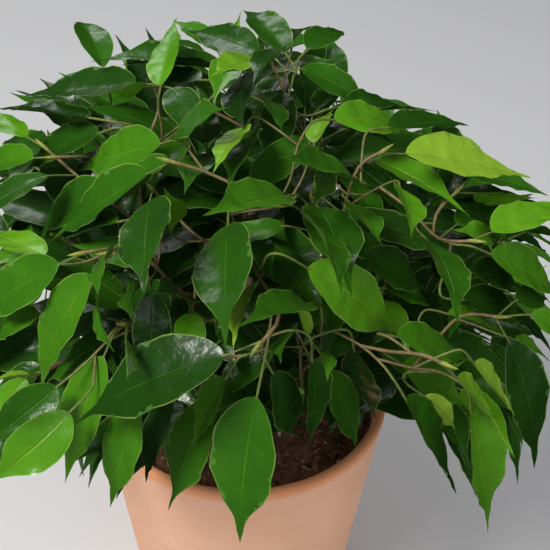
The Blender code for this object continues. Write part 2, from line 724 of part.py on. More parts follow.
def shown_length(twig, blades):
    """How much of a twig shows in the picture, past the blades that hide it."""
    beads = twig.beads(0.004)
    shown = 0
    for place, _ in beads:
        direction = (place - VIEW_POINT).normalized()
        reach = (place - VIEW_POINT).length
        if not any(blade.ray_cast(VIEW_POINT, direction, reach)[0] is not None for blade in blades):
            shown += 1
    return twig.length * shown / len(beads)


def stalk_to(leaf, places, space, load):
    """A clear way to a leaf, from wood nearby, that shows little: the side twig's points and its start."""
    joint = leaf.base - leaf.along * PETIOLE
    outward = crown_outward(joint)
    own = leaf.own_tree()

    def cost(place):
        offset = place[2] - joint
        ahead = max(0.0, offset.dot(leaf.along))
        outer = max(0.0, crown_level(place[2]) - crown_level(joint))
        return offset.length + AHEAD_COST * ahead + OUTER_COST * outer + LOAD_COST * load[place[0].stem]

    found = []
    least = math.inf
    for place in sorted(places, key=cost)[:MOST_PLACES]:
        twig, share, start = place
        direction = twig.at(share)[1]
        towards = joint - start
        span = towards.length
        if span < 0.006:
            continue
        count = 3 if span < 0.026 else 4
        for lean, bend, dip in STALK_BENDS:
            way = (direction * lean + towards.normalized() - outward * dip).normalized()
            bent = joint - leaf.along * span * bend - outward * span * dip
            curve = bezier(start, start + way * span * 0.35, bent, joint, count)
            if sharpest_bend(curve + [leaf.base]) > SHARPEST_BEND:
                continue
            stalk = Twig(curve + [leaf.base], STALK_RADIUS, STALK_RADIUS, twig.stem)
            if space.path_is_free(stalk, 0.006, own):
                shown = shown_length(stalk, space.blades + [own])
                least = min(least, shown)
                found.append((cost(place) + SHOWN_COST * shown, len(found), curve, place))
                break
        if len(found) == MOST_WAYS or (len(found) >= FEWEST_WAYS and least < LITTLE_SHOWN):
            break
    if not found:
        return None, None
    return min(found)[2:]


def place_seen_leaves(space, branches, load, rng):
    """The leaves that show, each moved in or out along its rays until it and its stalk are clear."""
    places = []
    for twig in branches:
        count = max(4, int(twig.length / PLACE_SPACING))
        shares = [0.25 + 0.75 * i / count for i in range(count + 1)]
        places += [(twig, share, twig.at(share)[0]) for share in shares]
    leaves, side_twigs = [], []
    for entry in SEEN_LEAVES:
        character = random_character(rng)
        for step in range(30):
            shift = -0.009 * (step + 1) if step % 2 else 0.006 * step
            leaf = seen_leaf(entry, entry["layer"] + shift, character)
            if not space.leaf_is_free(leaf):
                continue
            curve, place = stalk_to(leaf, places, space, load)
            if curve:
                break
        else:
            continue
        twig = place[0]
        twig.bear(place[1])
        places.remove(place)
        leaf.stem = twig.stem
        leaf.large = leaf.length > 0.040
        side_twig = Twig(curve, TWIG_RADIUS, TWIG_RADIUS, twig.stem)
        if side_twig.length > LONG_STALK:
            side_twigs.append(side_twig)
            side_twig.bear(1.0)
            leaf.stalk = [side_twig.at(0.97)[0], leaf.base]
        else:
            leaf.stalk = curve + [leaf.base]
            leaf.stalk_radius = STALK_RADIUS
        space.add_leaf(leaf)
        space.add_twig(Twig(curve + [leaf.base], TWIG_RADIUS, PETIOLE_RADIUS, twig.stem))
        places += [(side_twig, share, side_twig.at(share)[0]) for share in (0.4, 0.7)]
        load[leaf.stem] += 1
        leaves.append(leaf)
    return leaves, side_twigs


def hides_seen_leaf(leaf, seen_tree):
    """Whether a leaf comes between the view and a leaf that shows, or shows outside the crown's outline."""
    for s in (0.15, 0.4, 0.65, 1.0):
        for t in (-0.8, 0.0, 0.8):
            point = leaf.point(s, t)
            away = (point - VIEW_POINT).normalized()
            if seen_tree.ray_cast(point, away, 0.2)[0] is not None:
                return True
            pixel = pixel_of(point)
            if not in_polygon(pixel, CROWN_OUTLINE):
                return True
            hidden = seen_tree.ray_cast(point, -away, 0.4)[0] is not None
            if in_window(pixel) and not hidden:
                return True
    return False


def fill_leaf(twig, share, side, rng, attempt):
    """One leaf on a twig, on the given side of it, or at its end."""
    place, direction, radius = twig.at(share)
    outward = crown_outward(place)
    upwards = Vector((0.0, 0.0, 1.0))
    level = (upwards - direction * upwards.dot(direction)).normalized()
    sideways = direction.cross(level)
    loose = 0.25 + 0.05 * attempt
    wobble = Vector(rng.uniform(-loose, loose) for _ in range(3))
    way = direction * 0.55 + sideways * side * 0.85 + outward * 0.35 + wobble
    if side == 0:
        way = direction + outward * 0.2 + wobble * 0.7
    way.normalize()
    young = share > 0.9
    length = rng.uniform(0.030, 0.046) if young else rng.uniform(0.046, 0.064)
    length *= 1.0 - 0.3 * min(1.0, attempt / 10.0)
    base = place + (way + level * 0.25).normalized() * (PETIOLE * rng.uniform(0.8, 1.3) + radius)
    hang = (way + Vector((0.0, 0.0, rng.uniform(-0.85, -0.15)))).normalized()
    facing = outward * 0.7 + upwards * 0.8 + wobble * 0.5
    leaf = Leaf(base, base + hang * length, facing, random_character(rng), twig.stem)
    leaf.stalk = [place, base]
    return leaf


def open_pixels(space):
    """A grid of pixels inside the crown's outline where the background still shows between the leaves."""
    found = []
    for x in range(0, 550, OPEN_STEP):
        for y in range(0, 550, OPEN_STEP):
            pixel = (x, y)
            if not in_polygon(pixel, CROWN_OUTLINE) or in_window(pixel):
                continue
            direction = ray_through(pixel)
            if not any(blade.ray_cast(VIEW_POINT, direction)[0] is not None for blade in space.blades):
                found.append(pixel)
    return found


def pixels_behind(leaf, pixels):
    """The open pixels that a leaf would cover."""
    corners = [pixel_of(leaf.point(s, -1.0)) for s in (0.0, 0.2, 0.4, 0.6, 0.8, 1.0)]
    corners += [pixel_of(leaf.point(s, 1.0)) for s in (0.8, 0.6, 0.4, 0.2)]
    corners = tuple(corners)
    return [pixel for pixel in pixels if in_polygon(pixel, corners)]


def leaf_sites(twigs):
    """Places for leaves along every twig, alternately on its two sides, tips first."""
    sites = []
    for number, twig in enumerate(twigs):
        sites.append((0, number, twig, 0.995, 0))
        for place in range(1, int(twig.length / LEAF_SPACING)):
            share = 1.0 - place * LEAF_SPACING / twig.length
            if share > LOWEST_LEAF:
                sites.append((place, number, twig, share, 1 if place % 2 else -1))
    sites.sort(key=lambda site: (site[0], site[1]))
    return sites


def fill_crown(space, twigs, seen, rng):
    """Leaves that close the crown where background shows through it, then on all its other sides."""
    points, faces = [], []
    for leaf in seen:
        some_points, some_faces = leaf_solid(leaf, TEST_STATIONS, BLADE_THICKNESS, False)
        faces += [tuple(corner + len(points) for corner in face) for face in some_faces]
        points += some_points
    seen_tree = BVHTree.FromPolygons(points, faces)
    sites = leaf_sites(twigs)
    pixels = open_pixels(space)
    leaves = []
    for least_cover in (8, 4, 2, 0):
        for site in list(sites):
            if len(seen) + len(leaves) >= MOST_LEAVES:
                break
            _, _, twig, share, side = site
            for attempt in range(12 if least_cover < 4 else 24):
                leaf = fill_leaf(twig, share, side, rng, attempt)
                covered = pixels_behind(leaf, pixels)
                if len(covered) < least_cover:
                    continue
                if crown_level(leaf.tip) > 1.16 or hides_seen_leaf(leaf, seen_tree):
                    continue
                petiole = Twig(leaf.stalk, PETIOLE_RADIUS, PETIOLE_RADIUS, twig.stem)
                if space.leaf_is_free(leaf) and space.path_is_free(petiole, 0.004):
                    leaves.append(leaf)
                    twig.bear(share)
                    space.add_leaf(leaf)
                    space.add_twig(petiole)
                    pixels = [pixel for pixel in pixels if pixel not in covered]
                    sites.remove(site)
                    break
    return leaves


def grow_plant():
    """Every stem, branch, side twig and leaf."""
    rng = random.Random(SEED)
    space = Space()
    stems = grow_stems(space)
    load = [0] * len(stems)
    branches = grow_branches(space, stems, load, rng)
    seen, side_twigs = place_seen_leaves(space, branches, load, rng)
    twigs = branches + side_twigs
    filling = fill_crown(space, twigs, seen, rng)
    twigs = [twig for twig in twigs if twig.used]
    for twig in twigs:
        twig.trim()
    return stems, twigs, seen + filling


# Solids


def mesh_object(name, mesh, material, collection):
    """An object for a mesh, in a collection."""
    if material is not None:
        mesh.materials.clear()
        mesh.materials.append(material)
    thing = bpy.data.objects.new(name, mesh)
    collection.objects.link(thing)
    return thing


def as_mesh(thing):
    """The evaluated mesh of an object, with its seams welded."""
    bpy.context.view_layer.update()
    graph = bpy.context.evaluated_depsgraph_get()
    mesh = bpy.data.meshes.new_from_object(thing.evaluated_get(graph))
    cage = bmesh.new()
    cage.from_mesh(mesh)
    bmesh.ops.remove_doubles(cage, verts=cage.verts, dist=SEAM)
    cage.to_mesh(mesh)
    cage.free()
    return mesh


def tube_object(name, twig, resolution, material, collection):
    """A twig as a bevelled curve, made a closed mesh."""
    curve = bpy.data.curves.new(name, "CURVE")
    curve.dimensions = "3D"
    curve.bevel_depth = max(twig.radii)
    curve.bevel_resolution = resolution
    curve.use_fill_caps = True
    spline = curve.splines.new("POLY")
    spline.points.add(len(twig.points) - 1)
    for corner, place, radius in zip(spline.points, twig.points, twig.radii):
        corner.co = (*place, 1.0)
        corner.radius = radius / curve.bevel_depth
    guide = bpy.data.objects.new(name + "_guide", curve)
    collection.objects.link(guide)
    mesh = as_mesh(guide)
    bpy.data.objects.remove(guide, do_unlink=True)
    return mesh_object(name, mesh, material, collection)


def leaf_object(name, leaf, material, collection):
    """A leaf as a closed mesh, with more stations on a large one."""
    stations = LARGE_STATIONS if leaf.large else SMALL_STATIONS
    points, faces = leaf_solid(leaf, stations, BLADE_THICKNESS, True)
    mesh = bpy.data.meshes.new(name)
    mesh.from_pydata([tuple(point) for point in points], [], faces)
    return mesh_object(name, mesh, material, collection)


def turned(name, profile, sides, material, collection):
    """A solid turned about +Z from a closed profile of (radius, height)."""
    mesh = bpy.data.meshes.new(name)
    count = len(profile)
    section = [(radius, 0.0, z) for radius, z in profile]
    mesh.from_pydata(section, [(i, (i + 1) % count) for i in range(count)], [])
    thing = mesh_object(name, mesh, material, collection)
    screw = thing.modifiers.new("Turn", "SCREW")
    screw.steps = screw.render_steps = sides
    screw.use_merge_vertices = True
    screw.merge_threshold = 0.00001
    return thing


def finish_smooth(thing, angle=40.0):
    """Smooth shading with sharp creases."""
    thing.data.shade_smooth()
    thing.data.set_sharp_from_angle(angle=math.radians(angle))


def build_pot(collection):
    """The terracotta pot: a tapered wall with a rounded lip, and a floor with a drainage hole."""
    clay = principled("Terracotta", (0.76, 0.42, 0.28), 0.85)
    foot = LIP_RADIUS - WALL_TAPER * POT_HEIGHT
    inner_floor = pot_inner_radius(POT_FLOOR)
    middle = LIP_RADIUS - WALL / 2.0
    turn = POT_HEIGHT - WALL / 2.0
    profile = []
    for step in range(LIP_STEPS + 1):
        angle = math.pi * step / LIP_STEPS
        profile.append((middle - WALL / 2.0 * math.cos(angle), turn + WALL / 2.0 * math.sin(angle)))
    profile += [(foot + FOOT_EDGE * WALL_TAPER, FOOT_EDGE), (foot - FOOT_EDGE, 0.0)]
    profile += [(DRAIN_RADIUS, 0.0), (DRAIN_RADIUS, POT_FLOOR), (inner_floor - INNER_CORNER, POT_FLOOR)]
    profile += [(inner_floor + INNER_CORNER * WALL_TAPER, POT_FLOOR + INNER_CORNER)]
    pot = turned("pot", profile, POT_SIDES, clay, collection)
    pot.data = as_mesh(pot)
    pot.modifiers.clear()
    pot.data.materials.clear()
    pot.data.materials.append(clay)
    finish_smooth(pot)
    return pot


def build_soil(collection, cutters):
    """The potting mix: a turned solid, lumpy on top, with a plain hole for each stem."""
    earth = principled("Potting_mix", (0.07, 0.04, 0.025), 0.95)
    top = POT_HEIGHT - SOIL_DROP
    low = POT_FLOOR + FIT_GAP
    rim = pot_inner_radius(top) - FIT_GAP
    knee = POT_FLOOR + INNER_CORNER + FIT_GAP
    profile = [(rim * (i / SOIL_RINGS), top) for i in range(1, SOIL_RINGS + 1)]
    profile.append((pot_inner_radius(knee) - FIT_GAP, knee))
    profile.append((pot_inner_radius(low) - INNER_CORNER - FIT_GAP, low))
    cage = bmesh.new()
    loops = []
    for radius, z in profile:
        loop = []
        for step in range(SOIL_SIDES):
            angle = 2.0 * math.pi * (step + 0.5 * (len(loops) % 2)) / SOIL_SIDES
            x, y = radius * math.cos(angle), radius * math.sin(angle)
            height = soil_level(x, y) if z == top else z
            loop.append(cage.verts.new((x, y, height)))
        loops.append(loop)
    crown = cage.verts.new((0.0, 0.0, soil_level(0.0, 0.0)))
    for step in range(SOIL_SIDES):
        after = (step + 1) % SOIL_SIDES
        cage.faces.new((crown, loops[0][step], loops[0][after]))
        for number, (inner, outer) in enumerate(zip(loops, loops[1:])):
            if number % 2:
                cage.faces.new((inner[step], outer[after], inner[after]))
                cage.faces.new((inner[step], outer[step], outer[after]))
            else:
                cage.faces.new((inner[step], outer[step], inner[after]))
                cage.faces.new((inner[after], outer[step], outer[after]))
    cage.faces.new(list(reversed(loops[-1])))
    mesh = bpy.data.meshes.new("soil")
    bmesh.ops.recalc_face_normals(cage, faces=cage.faces)
    cage.to_mesh(mesh)
    cage.free()
    soil = mesh_object("soil", mesh, earth, collection)
    for index, place in enumerate(STEMS):
        x, y = place["foot"]
        bottom = soil_level(x, y) - HOLE_DEPTH
        bpy.ops.mesh.primitive_cylinder_add(
            vertices=12,
            radius=(STEM_RADIUS + FIT_GAP) / math.cos(math.pi / 12),
            depth=2.0 * HOLE_DEPTH,
            location=(x, y, bottom + HOLE_DEPTH),
        )
        cutter = bpy.context.active_object
        cutter.name = f"stem_hole_{index + 1}"
        for holder in list(cutter.users_collection):
            holder.objects.unlink(cutter)
        cutters.objects.link(cutter)
        cutter.hide_render = True
        cutter.display_type = "WIRE"
        hole = soil.modifiers.new(f"Hole_{index + 1}", "BOOLEAN")
        hole.operation = "DIFFERENCE"
        hole.object = cutter
    finish_smooth(soil, 60.0)
    return soil


def clean_seams(mesh):
    """Welds the near-coincident points of a fused mesh's seams, and removes faces that lie back to back."""
    cage = bmesh.new()
    cage.from_mesh(mesh)
    bmesh.ops.triangulate(cage, faces=cage.faces)
    bmesh.ops.remove_doubles(cage, verts=cage.verts, dist=SEAM)
    cage.verts.index_update()
    by_corners = {}
    for face in cage.faces:
        by_corners.setdefault(frozenset(corner.index for corner in face.verts), []).append(face)
    flaps = [face for faces in by_corners.values() if len(faces) > 1 for face in faces]
    bmesh.ops.delete(cage, geom=flaps, context="FACES")
    cage.to_mesh(mesh)
    cage.free()


def build_leafy_stem(stem, twigs, leaves, green, bark, collection):
    """One stem with everything that grows from it, fused into one solid."""
    name = f"leafy_stem_{stem.stem + 1}"
    pieces = bpy.data.collections.new(name + "_pieces")
    bpy.context.scene.collection.children.link(pieces)
    body = tube_object(name, stem, 1, bark, collection)
    for index, twig in enumerate(twigs):
        tube_object(f"{name}_twig_{index}", twig, 0, bark, pieces)
    for index, leaf in enumerate(leaves):
        leaf_object(f"{name}_leaf_{index}", leaf, green, pieces)
    union = body.modifiers.new("Fuse", "BOOLEAN")
    union.operation = "UNION"
    union.operand_type = "COLLECTION"
    union.collection = pieces
    union.solver = "MANIFOLD"
    union.material_mode = "TRANSFER"
    bpy.context.view_layer.update()
    graph = bpy.context.evaluated_depsgraph_get()
    fused = bpy.data.meshes.new_from_object(body.evaluated_get(graph))
    body.modifiers.clear()
    clean_seams(fused)
    body.data = fused
    for piece in list(pieces.objects):
        bpy.data.objects.remove(piece, do_unlink=True)
    bpy.data.collections.remove(pieces)
    finish_smooth(body, 30.0)
    return body


def main():
    clear_scene()
    plant = bpy.data.collections.new("Weeping_fig")
    cutters = bpy.data.collections.new("Cutters")
    for holder in (plant, cutters):
        bpy.context.scene.collection.children.link(holder)
    build_pot(plant)
    build_soil(plant, cutters)
    green = principled("Fig_leaf", (0.10, 0.30, 0.04), 0.40)
    bark = principled("Fig_bark", (0.30, 0.22, 0.12), 0.80)
    stems, branches, leaves = grow_plant()
    for stem in stems:
        twigs = [twig for twig in branches if twig.stem == stem.stem]
        own = [leaf for leaf in leaves if leaf.stem == stem.stem]
        build_leafy_stem(stem, twigs, own, green, bark, plant)


main()
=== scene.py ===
"""A small weeping fig (Ficus benjamina) in a terracotta pot, finished for the picture.

The pot and its potting mix come first. Then the plant grows as it does in the solids, from the same draws: five
stems, their branches, the leaves that the picture shows, and those that fill the crown. The wood, the blades, the
buds and the small inner leaves are then made fine, and last come the floor, the light and the camera.
"""

import math
import random

import bmesh
import bpy
import numpy as np
from mathutils import Matrix, Vector
from mathutils.bvhtree import BVHTree


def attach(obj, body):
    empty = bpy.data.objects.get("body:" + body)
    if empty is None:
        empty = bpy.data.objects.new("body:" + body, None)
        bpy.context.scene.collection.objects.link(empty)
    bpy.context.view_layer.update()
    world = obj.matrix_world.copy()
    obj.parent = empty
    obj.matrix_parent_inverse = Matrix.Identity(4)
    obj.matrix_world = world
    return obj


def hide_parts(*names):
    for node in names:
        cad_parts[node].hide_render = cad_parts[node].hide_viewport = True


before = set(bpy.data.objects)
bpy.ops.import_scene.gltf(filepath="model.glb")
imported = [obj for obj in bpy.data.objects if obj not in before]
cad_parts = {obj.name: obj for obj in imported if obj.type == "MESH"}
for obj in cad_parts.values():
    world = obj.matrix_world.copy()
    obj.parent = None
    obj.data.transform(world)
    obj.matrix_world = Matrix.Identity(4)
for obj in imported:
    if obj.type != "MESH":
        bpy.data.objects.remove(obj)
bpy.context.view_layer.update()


# The pot is one turned piece of unglazed terracotta: a tapered wall, a plain rounded lip, and a thick floor with a
# drainage hole. It is thrown, dried and fired, and stands free on its foot. Salts from the water have left a pale
# bloom on its outside, and the lip and the inside are the clay's own orange.

POT_HEIGHT = 0.125
LIP_RADIUS = 0.070
WALL = 0.0050
WALL_TAPER = 0.121
POT_FLOOR = 0.008
DRAIN_RADIUS = 0.006
TURNING_STEPS = 144
LIP_STEPS = 12
WALL_STEPS = 30
FOOT_EDGE = 0.0016
INNER_CORNER = 0.003
LIP_BAND = 0.004


def pot_inner_radius(z):
    """The pot's inside radius at a height."""
    return LIP_RADIUS - WALL - WALL_TAPER * (POT_HEIGHT - z)


def pot_profile():
    """The pot's section, as (radius, height, how much bloom it carries), up its outside and down its inside."""
    foot = LIP_RADIUS - WALL_TAPER * POT_HEIGHT
    middle = LIP_RADIUS - WALL / 2.0
    turn = POT_HEIGHT - WALL / 2.0
    edge = 0.4 * FOOT_EDGE
    profile = [(DRAIN_RADIUS, 0.0, 0.3), (foot - FOOT_EDGE, 0.0, 0.6), (foot - edge, edge, 0.6)]
    for step in range(WALL_STEPS):
        z = FOOT_EDGE + (turn - LIP_BAND - FOOT_EDGE) * step / (WALL_STEPS - 1)
        profile.append((foot + WALL_TAPER * z, z, 1.0))
    for step in range(LIP_STEPS + 1):
        angle = math.pi * step / LIP_STEPS
        profile.append((middle + WALL / 2.0 * math.cos(angle), turn + WALL / 2.0 * math.sin(angle), 0.0))
    for step in range(1, WALL_STEPS):
        z = turn + (POT_FLOOR + INNER_CORNER - turn) * step / (WALL_STEPS - 1)
        profile.append((pot_inner_radius(z), z, 0.15))
    profile += [(pot_inner_radius(POT_FLOOR) - INNER_CORNER, POT_FLOOR, 0.1), (DRAIN_RADIUS, POT_FLOOR, 0.1)]
    return profile


def mesh_of(cage, name, sharp_angle=None):
    """The mesh of a cage, smooth but for edges sharper than an angle in degrees where one is given."""
    mesh = bpy.data.meshes.new(name)
    cage.to_mesh(mesh)
    cage.free()
    if sharp_angle:
        mesh.shade_smooth()
        mesh.set_sharp_from_angle(angle=math.radians(sharp_angle))
    return mesh


def turned_pot():
    """The pot's mesh, with the bloom kept as an attribute."""
    cage = bmesh.new()
    bloom = cage.verts.layers.float.new("bloom")
    rounds = []
    for radius, z, share in pot_profile():
        ring = []
        for step in range(TURNING_STEPS):
            angle = 2.0 * math.pi * step / TURNING_STEPS
            corner = cage.verts.new((radius * math.cos(angle), radius * math.sin(angle), z))
            corner[bloom] = share
            ring.append(corner)
        rounds.append(ring)
    for lower, upper in zip(rounds, rounds[1:] + rounds[:1]):
        for step in range(TURNING_STEPS):
            after = (step + 1) % TURNING_STEPS
            cage.faces.new((lower[step], lower[after], upper[after], upper[step]))
    bmesh.ops.recalc_face_normals(cage, faces=cage.faces)
    return mesh_of(cage, "terracotta_pot", 40.0)


def wire(tree, kind, feeds=None, **settings):
    """A node of a tree: what feeds each of its sockets, as another node's socket or a value, and its settings."""
    made = tree.nodes.new(kind)
    for name, value in settings.items():
        setattr(made, name, value)
    for name, feed in (feeds or {}).items():
        socket = made.inputs[name]
        if isinstance(feed, bpy.types.NodeSocket):
            tree.links.new(feed, socket)
        else:
            socket.default_value = feed
    return made


def maths(tree, operation, *feeds):
    """The result of one sum on numbers."""
    return wire(tree, "ShaderNodeMath", dict(enumerate(feeds)), operation=operation).outputs[0]


def blend(tree, share, first, second):
    """A colour between two, by a share."""
    made = wire(tree, "ShaderNodeMix", data_type="RGBA")
    for socket, feed in zip((made.inputs[0], made.inputs[6], made.inputs[7]), (share, first, second)):
        if isinstance(feed, bpy.types.NodeSocket):
            tree.links.new(feed, socket)
        else:
            socket.default_value = feed
    return made.outputs[2]


def times(tree, first, second):
    """A colour multiplied by another."""
    made = wire(tree, "ShaderNodeMix", {0: 1.0}, data_type="RGBA", blend_type="MULTIPLY")
    tree.links.new(first, made.inputs[6])
    tree.links.new(second, made.inputs[7])
    return made.outputs[2]


def shade_steps(tree, feed, steps):
    """A colour ramp: each step is a place from 0 to 1 and a colour."""
    ramp = wire(tree, "ShaderNodeValToRGB", {0: feed})
    elements = ramp.color_ramp.elements
    while len(elements) < len(steps):
        elements.new(0.5)
    for element, (place, colour) in zip(elements, steps):
        element.position = place
        element.color = (*colour, 1.0)
    return ramp.outputs[0]


def grain(tree, scale, detail=3.0, roughness=0.5):
    """Noise through the object, at so many lumps a metre."""
    place = wire(tree, "ShaderNodeTexCoord").outputs["Object"]
    feeds = {"Vector": place, "Scale": scale, "Detail": detail, "Roughness": roughness}
    return wire(tree, "ShaderNodeTexNoise", feeds).outputs["Fac"]


def kept(tree, name):
    """A number that the mesh keeps at its points or faces."""
    return wire(tree, "ShaderNodeAttribute", attribute_name=name).outputs["Fac"]


def new_finish(name, roughness):
    """A material with its tree and its shader."""
    material = bpy.data.materials.new(name)
    material.use_nodes = True
    shader = material.node_tree.nodes["Principled BSDF"]
    shader.inputs["Roughness"].default_value = roughness
    return material, material.node_tree, shader


def emboss(tree, shader, height, distance, strength=1.0):
    """Relief on a finish."""
    bump = wire(tree, "ShaderNodeBump", {"Strength": strength, "Distance": distance, "Height": height})
    tree.links.new(bump.outputs["Normal"], shader.inputs["Normal"])


def fired_clay():
    """Terracotta: orange clay with fine grit, faintly mottled, under a pale bloom where the water has dried."""
    material, tree, shader = new_finish("Fired_clay", 0.82)
    mottle = grain(tree, 14.0, 4.0, 0.55)
    grit = grain(tree, 1100.0, 2.0)
    clay = shade_steps(tree, mottle, ((0.30, (0.72, 0.275, 0.115)), (0.70, (0.84, 0.38, 0.18))))
    dried = grain(tree, 24.0, 5.0, 0.6)
    salts = shade_steps(tree, dried, ((0.25, (0.78, 0.42, 0.265)), (0.75, (0.86, 0.53, 0.375))))
    share = maths(tree, "MULTIPLY", kept(tree, "bloom"), maths(tree, "MULTIPLY_ADD", mottle, 0.35, 0.72))
    specks = shade_steps(tree, grit, ((0.30, (0.90, 0.88, 0.86)), (0.45, (1.0, 1.0, 1.0))))
    tree.links.new(times(tree, blend(tree, share, clay, salts), specks), shader.inputs["Base Color"])
    emboss(tree, shader, grit, 0.00025, 0.5)
    return material


def new_object(name, data):
    """An object in the scene."""
    made = bpy.data.objects.new(name, data)
    bpy.context.scene.collection.objects.link(made)
    return made


def shown(name, mesh, finish, slot, node):
    """Puts a finished piece in the scene: it rides with the pot, and stands for its solid."""
    mesh.materials.clear()
    mesh.materials.append(finish)
    piece = new_object(name, mesh)
    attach(piece, "root")
    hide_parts(node)


shown("terracotta_pot", turned_pot(), fired_clay(), "terracotta", "pot")


# The potting mix is a dark, crumbly compost with bits of bark and grit. It was pressed in round the roots by hand
# to a low dome, a little below the lip, and the stems stand in it.

FIT_GAP = 0.0003
SOIL_DROP = 0.012
SOIL_DOME = 0.005
SOIL_RELIEF = 0.00084
HOLE_DEPTH = 0.028
MIX_RINGS = 44
MIX_SIDES = 120
CRUMBS = 260000.0
CRUMB_SEED = 5
CRUMB_RELIEF = 0.0016


def soil_level(x, y):
    """The soil's surface: a low dome with a lumpy relief."""
    distance = math.hypot(x, y)
    edge = pot_inner_radius(POT_HEIGHT - SOIL_DROP)
    dome = SOIL_DOME * (1.0 - (distance / edge) ** 2)
    lumps = math.sin(310 * x + 1.3) * math.cos(270 * y) + 0.7 * math.sin(520 * y + 390 * x)
    return POT_HEIGHT - SOIL_DROP + dome + SOIL_RELIEF * lumps


def mix_mesh():
    """The mix: its lumpy top, its side against the pot, and its bottom on the pot's floor."""
    rim = pot_inner_radius(POT_HEIGHT - SOIL_DROP) - FIT_GAP
    low = POT_FLOOR + FIT_GAP
    cage = bmesh.new()
    centre = cage.verts.new((0.0, 0.0, soil_level(0.0, 0.0)))
    rounds = [(rim * number / MIX_RINGS, None) for number in range(1, MIX_RINGS + 1)]
    rounds.append((pot_inner_radius(low + INNER_CORNER) - FIT_GAP, low + INNER_CORNER))
    rounds.append((pot_inner_radius(low) - INNER_CORNER - FIT_GAP, low))
    rings = []
    for radius, z in rounds:
        corners = []
        for step in range(MIX_SIDES):
            angle = 2.0 * math.pi * step / MIX_SIDES
            x, y = radius * math.cos(angle), radius * math.sin(angle)
            corners.append(cage.verts.new((x, y, soil_level(x, y) if z is None else z)))
        rings.append(corners)
    for step in range(MIX_SIDES):
        after = (step + 1) % MIX_SIDES
        cage.faces.new((centre, rings[0][step], rings[0][after]))
        for inner, outer in zip(rings, rings[1:]):
            cage.faces.new((inner[step], outer[step], outer[after], inner[after]))
    cage.faces.new(rings[-1])
    bmesh.ops.recalc_face_normals(cage, faces=cage.faces)
    return mesh_of(cage, "potting_mix", 60.0)


def new_tree(name, sizes):
    """A geometry tree with its named inputs, after the one for what it works on."""
    tree = bpy.data.node_groups.new(name, "GeometryNodeTree")
    tree.interface.new_socket("Geometry", in_out="INPUT", socket_type="NodeSocketGeometry")
    for size, kind in sizes.items():
        tree.interface.new_socket(size, in_out="INPUT", socket_type=kind)
    tree.interface.new_socket("Geometry", in_out="OUTPUT", socket_type="NodeSocketGeometry")
    return tree, tree.nodes.new("NodeGroupInput").outputs


def end_tree(tree, geometry, given):
    """The tree, with its result in the finish that it is given."""
    finished = wire(tree, "GeometryNodeSetMaterial", {"Geometry": geometry, "Material": given["Finish"]})
    tree.links.new(finished.outputs[0], tree.nodes.new("NodeGroupOutput").inputs[0])
    return tree


def made_by(tree, name, mesh, values):
    """The plain mesh that a tree makes of a mesh, with a value for each of its named inputs."""
    rough = new_object(name + "_rough", mesh)
    modifier = rough.modifiers.new(name, "NODES")
    modifier.node_group = tree
    for item in tree.interface.items_tree:
        if item.in_out == "INPUT" and item.name in values:
            modifier[item.identifier] = values[item.name]
    graph = bpy.context.evaluated_depsgraph_get()
    made = bpy.data.meshes.new_from_object(rough.evaluated_get(graph))
    made.name = name
    bpy.data.objects.remove(rough, do_unlink=True)
    return made


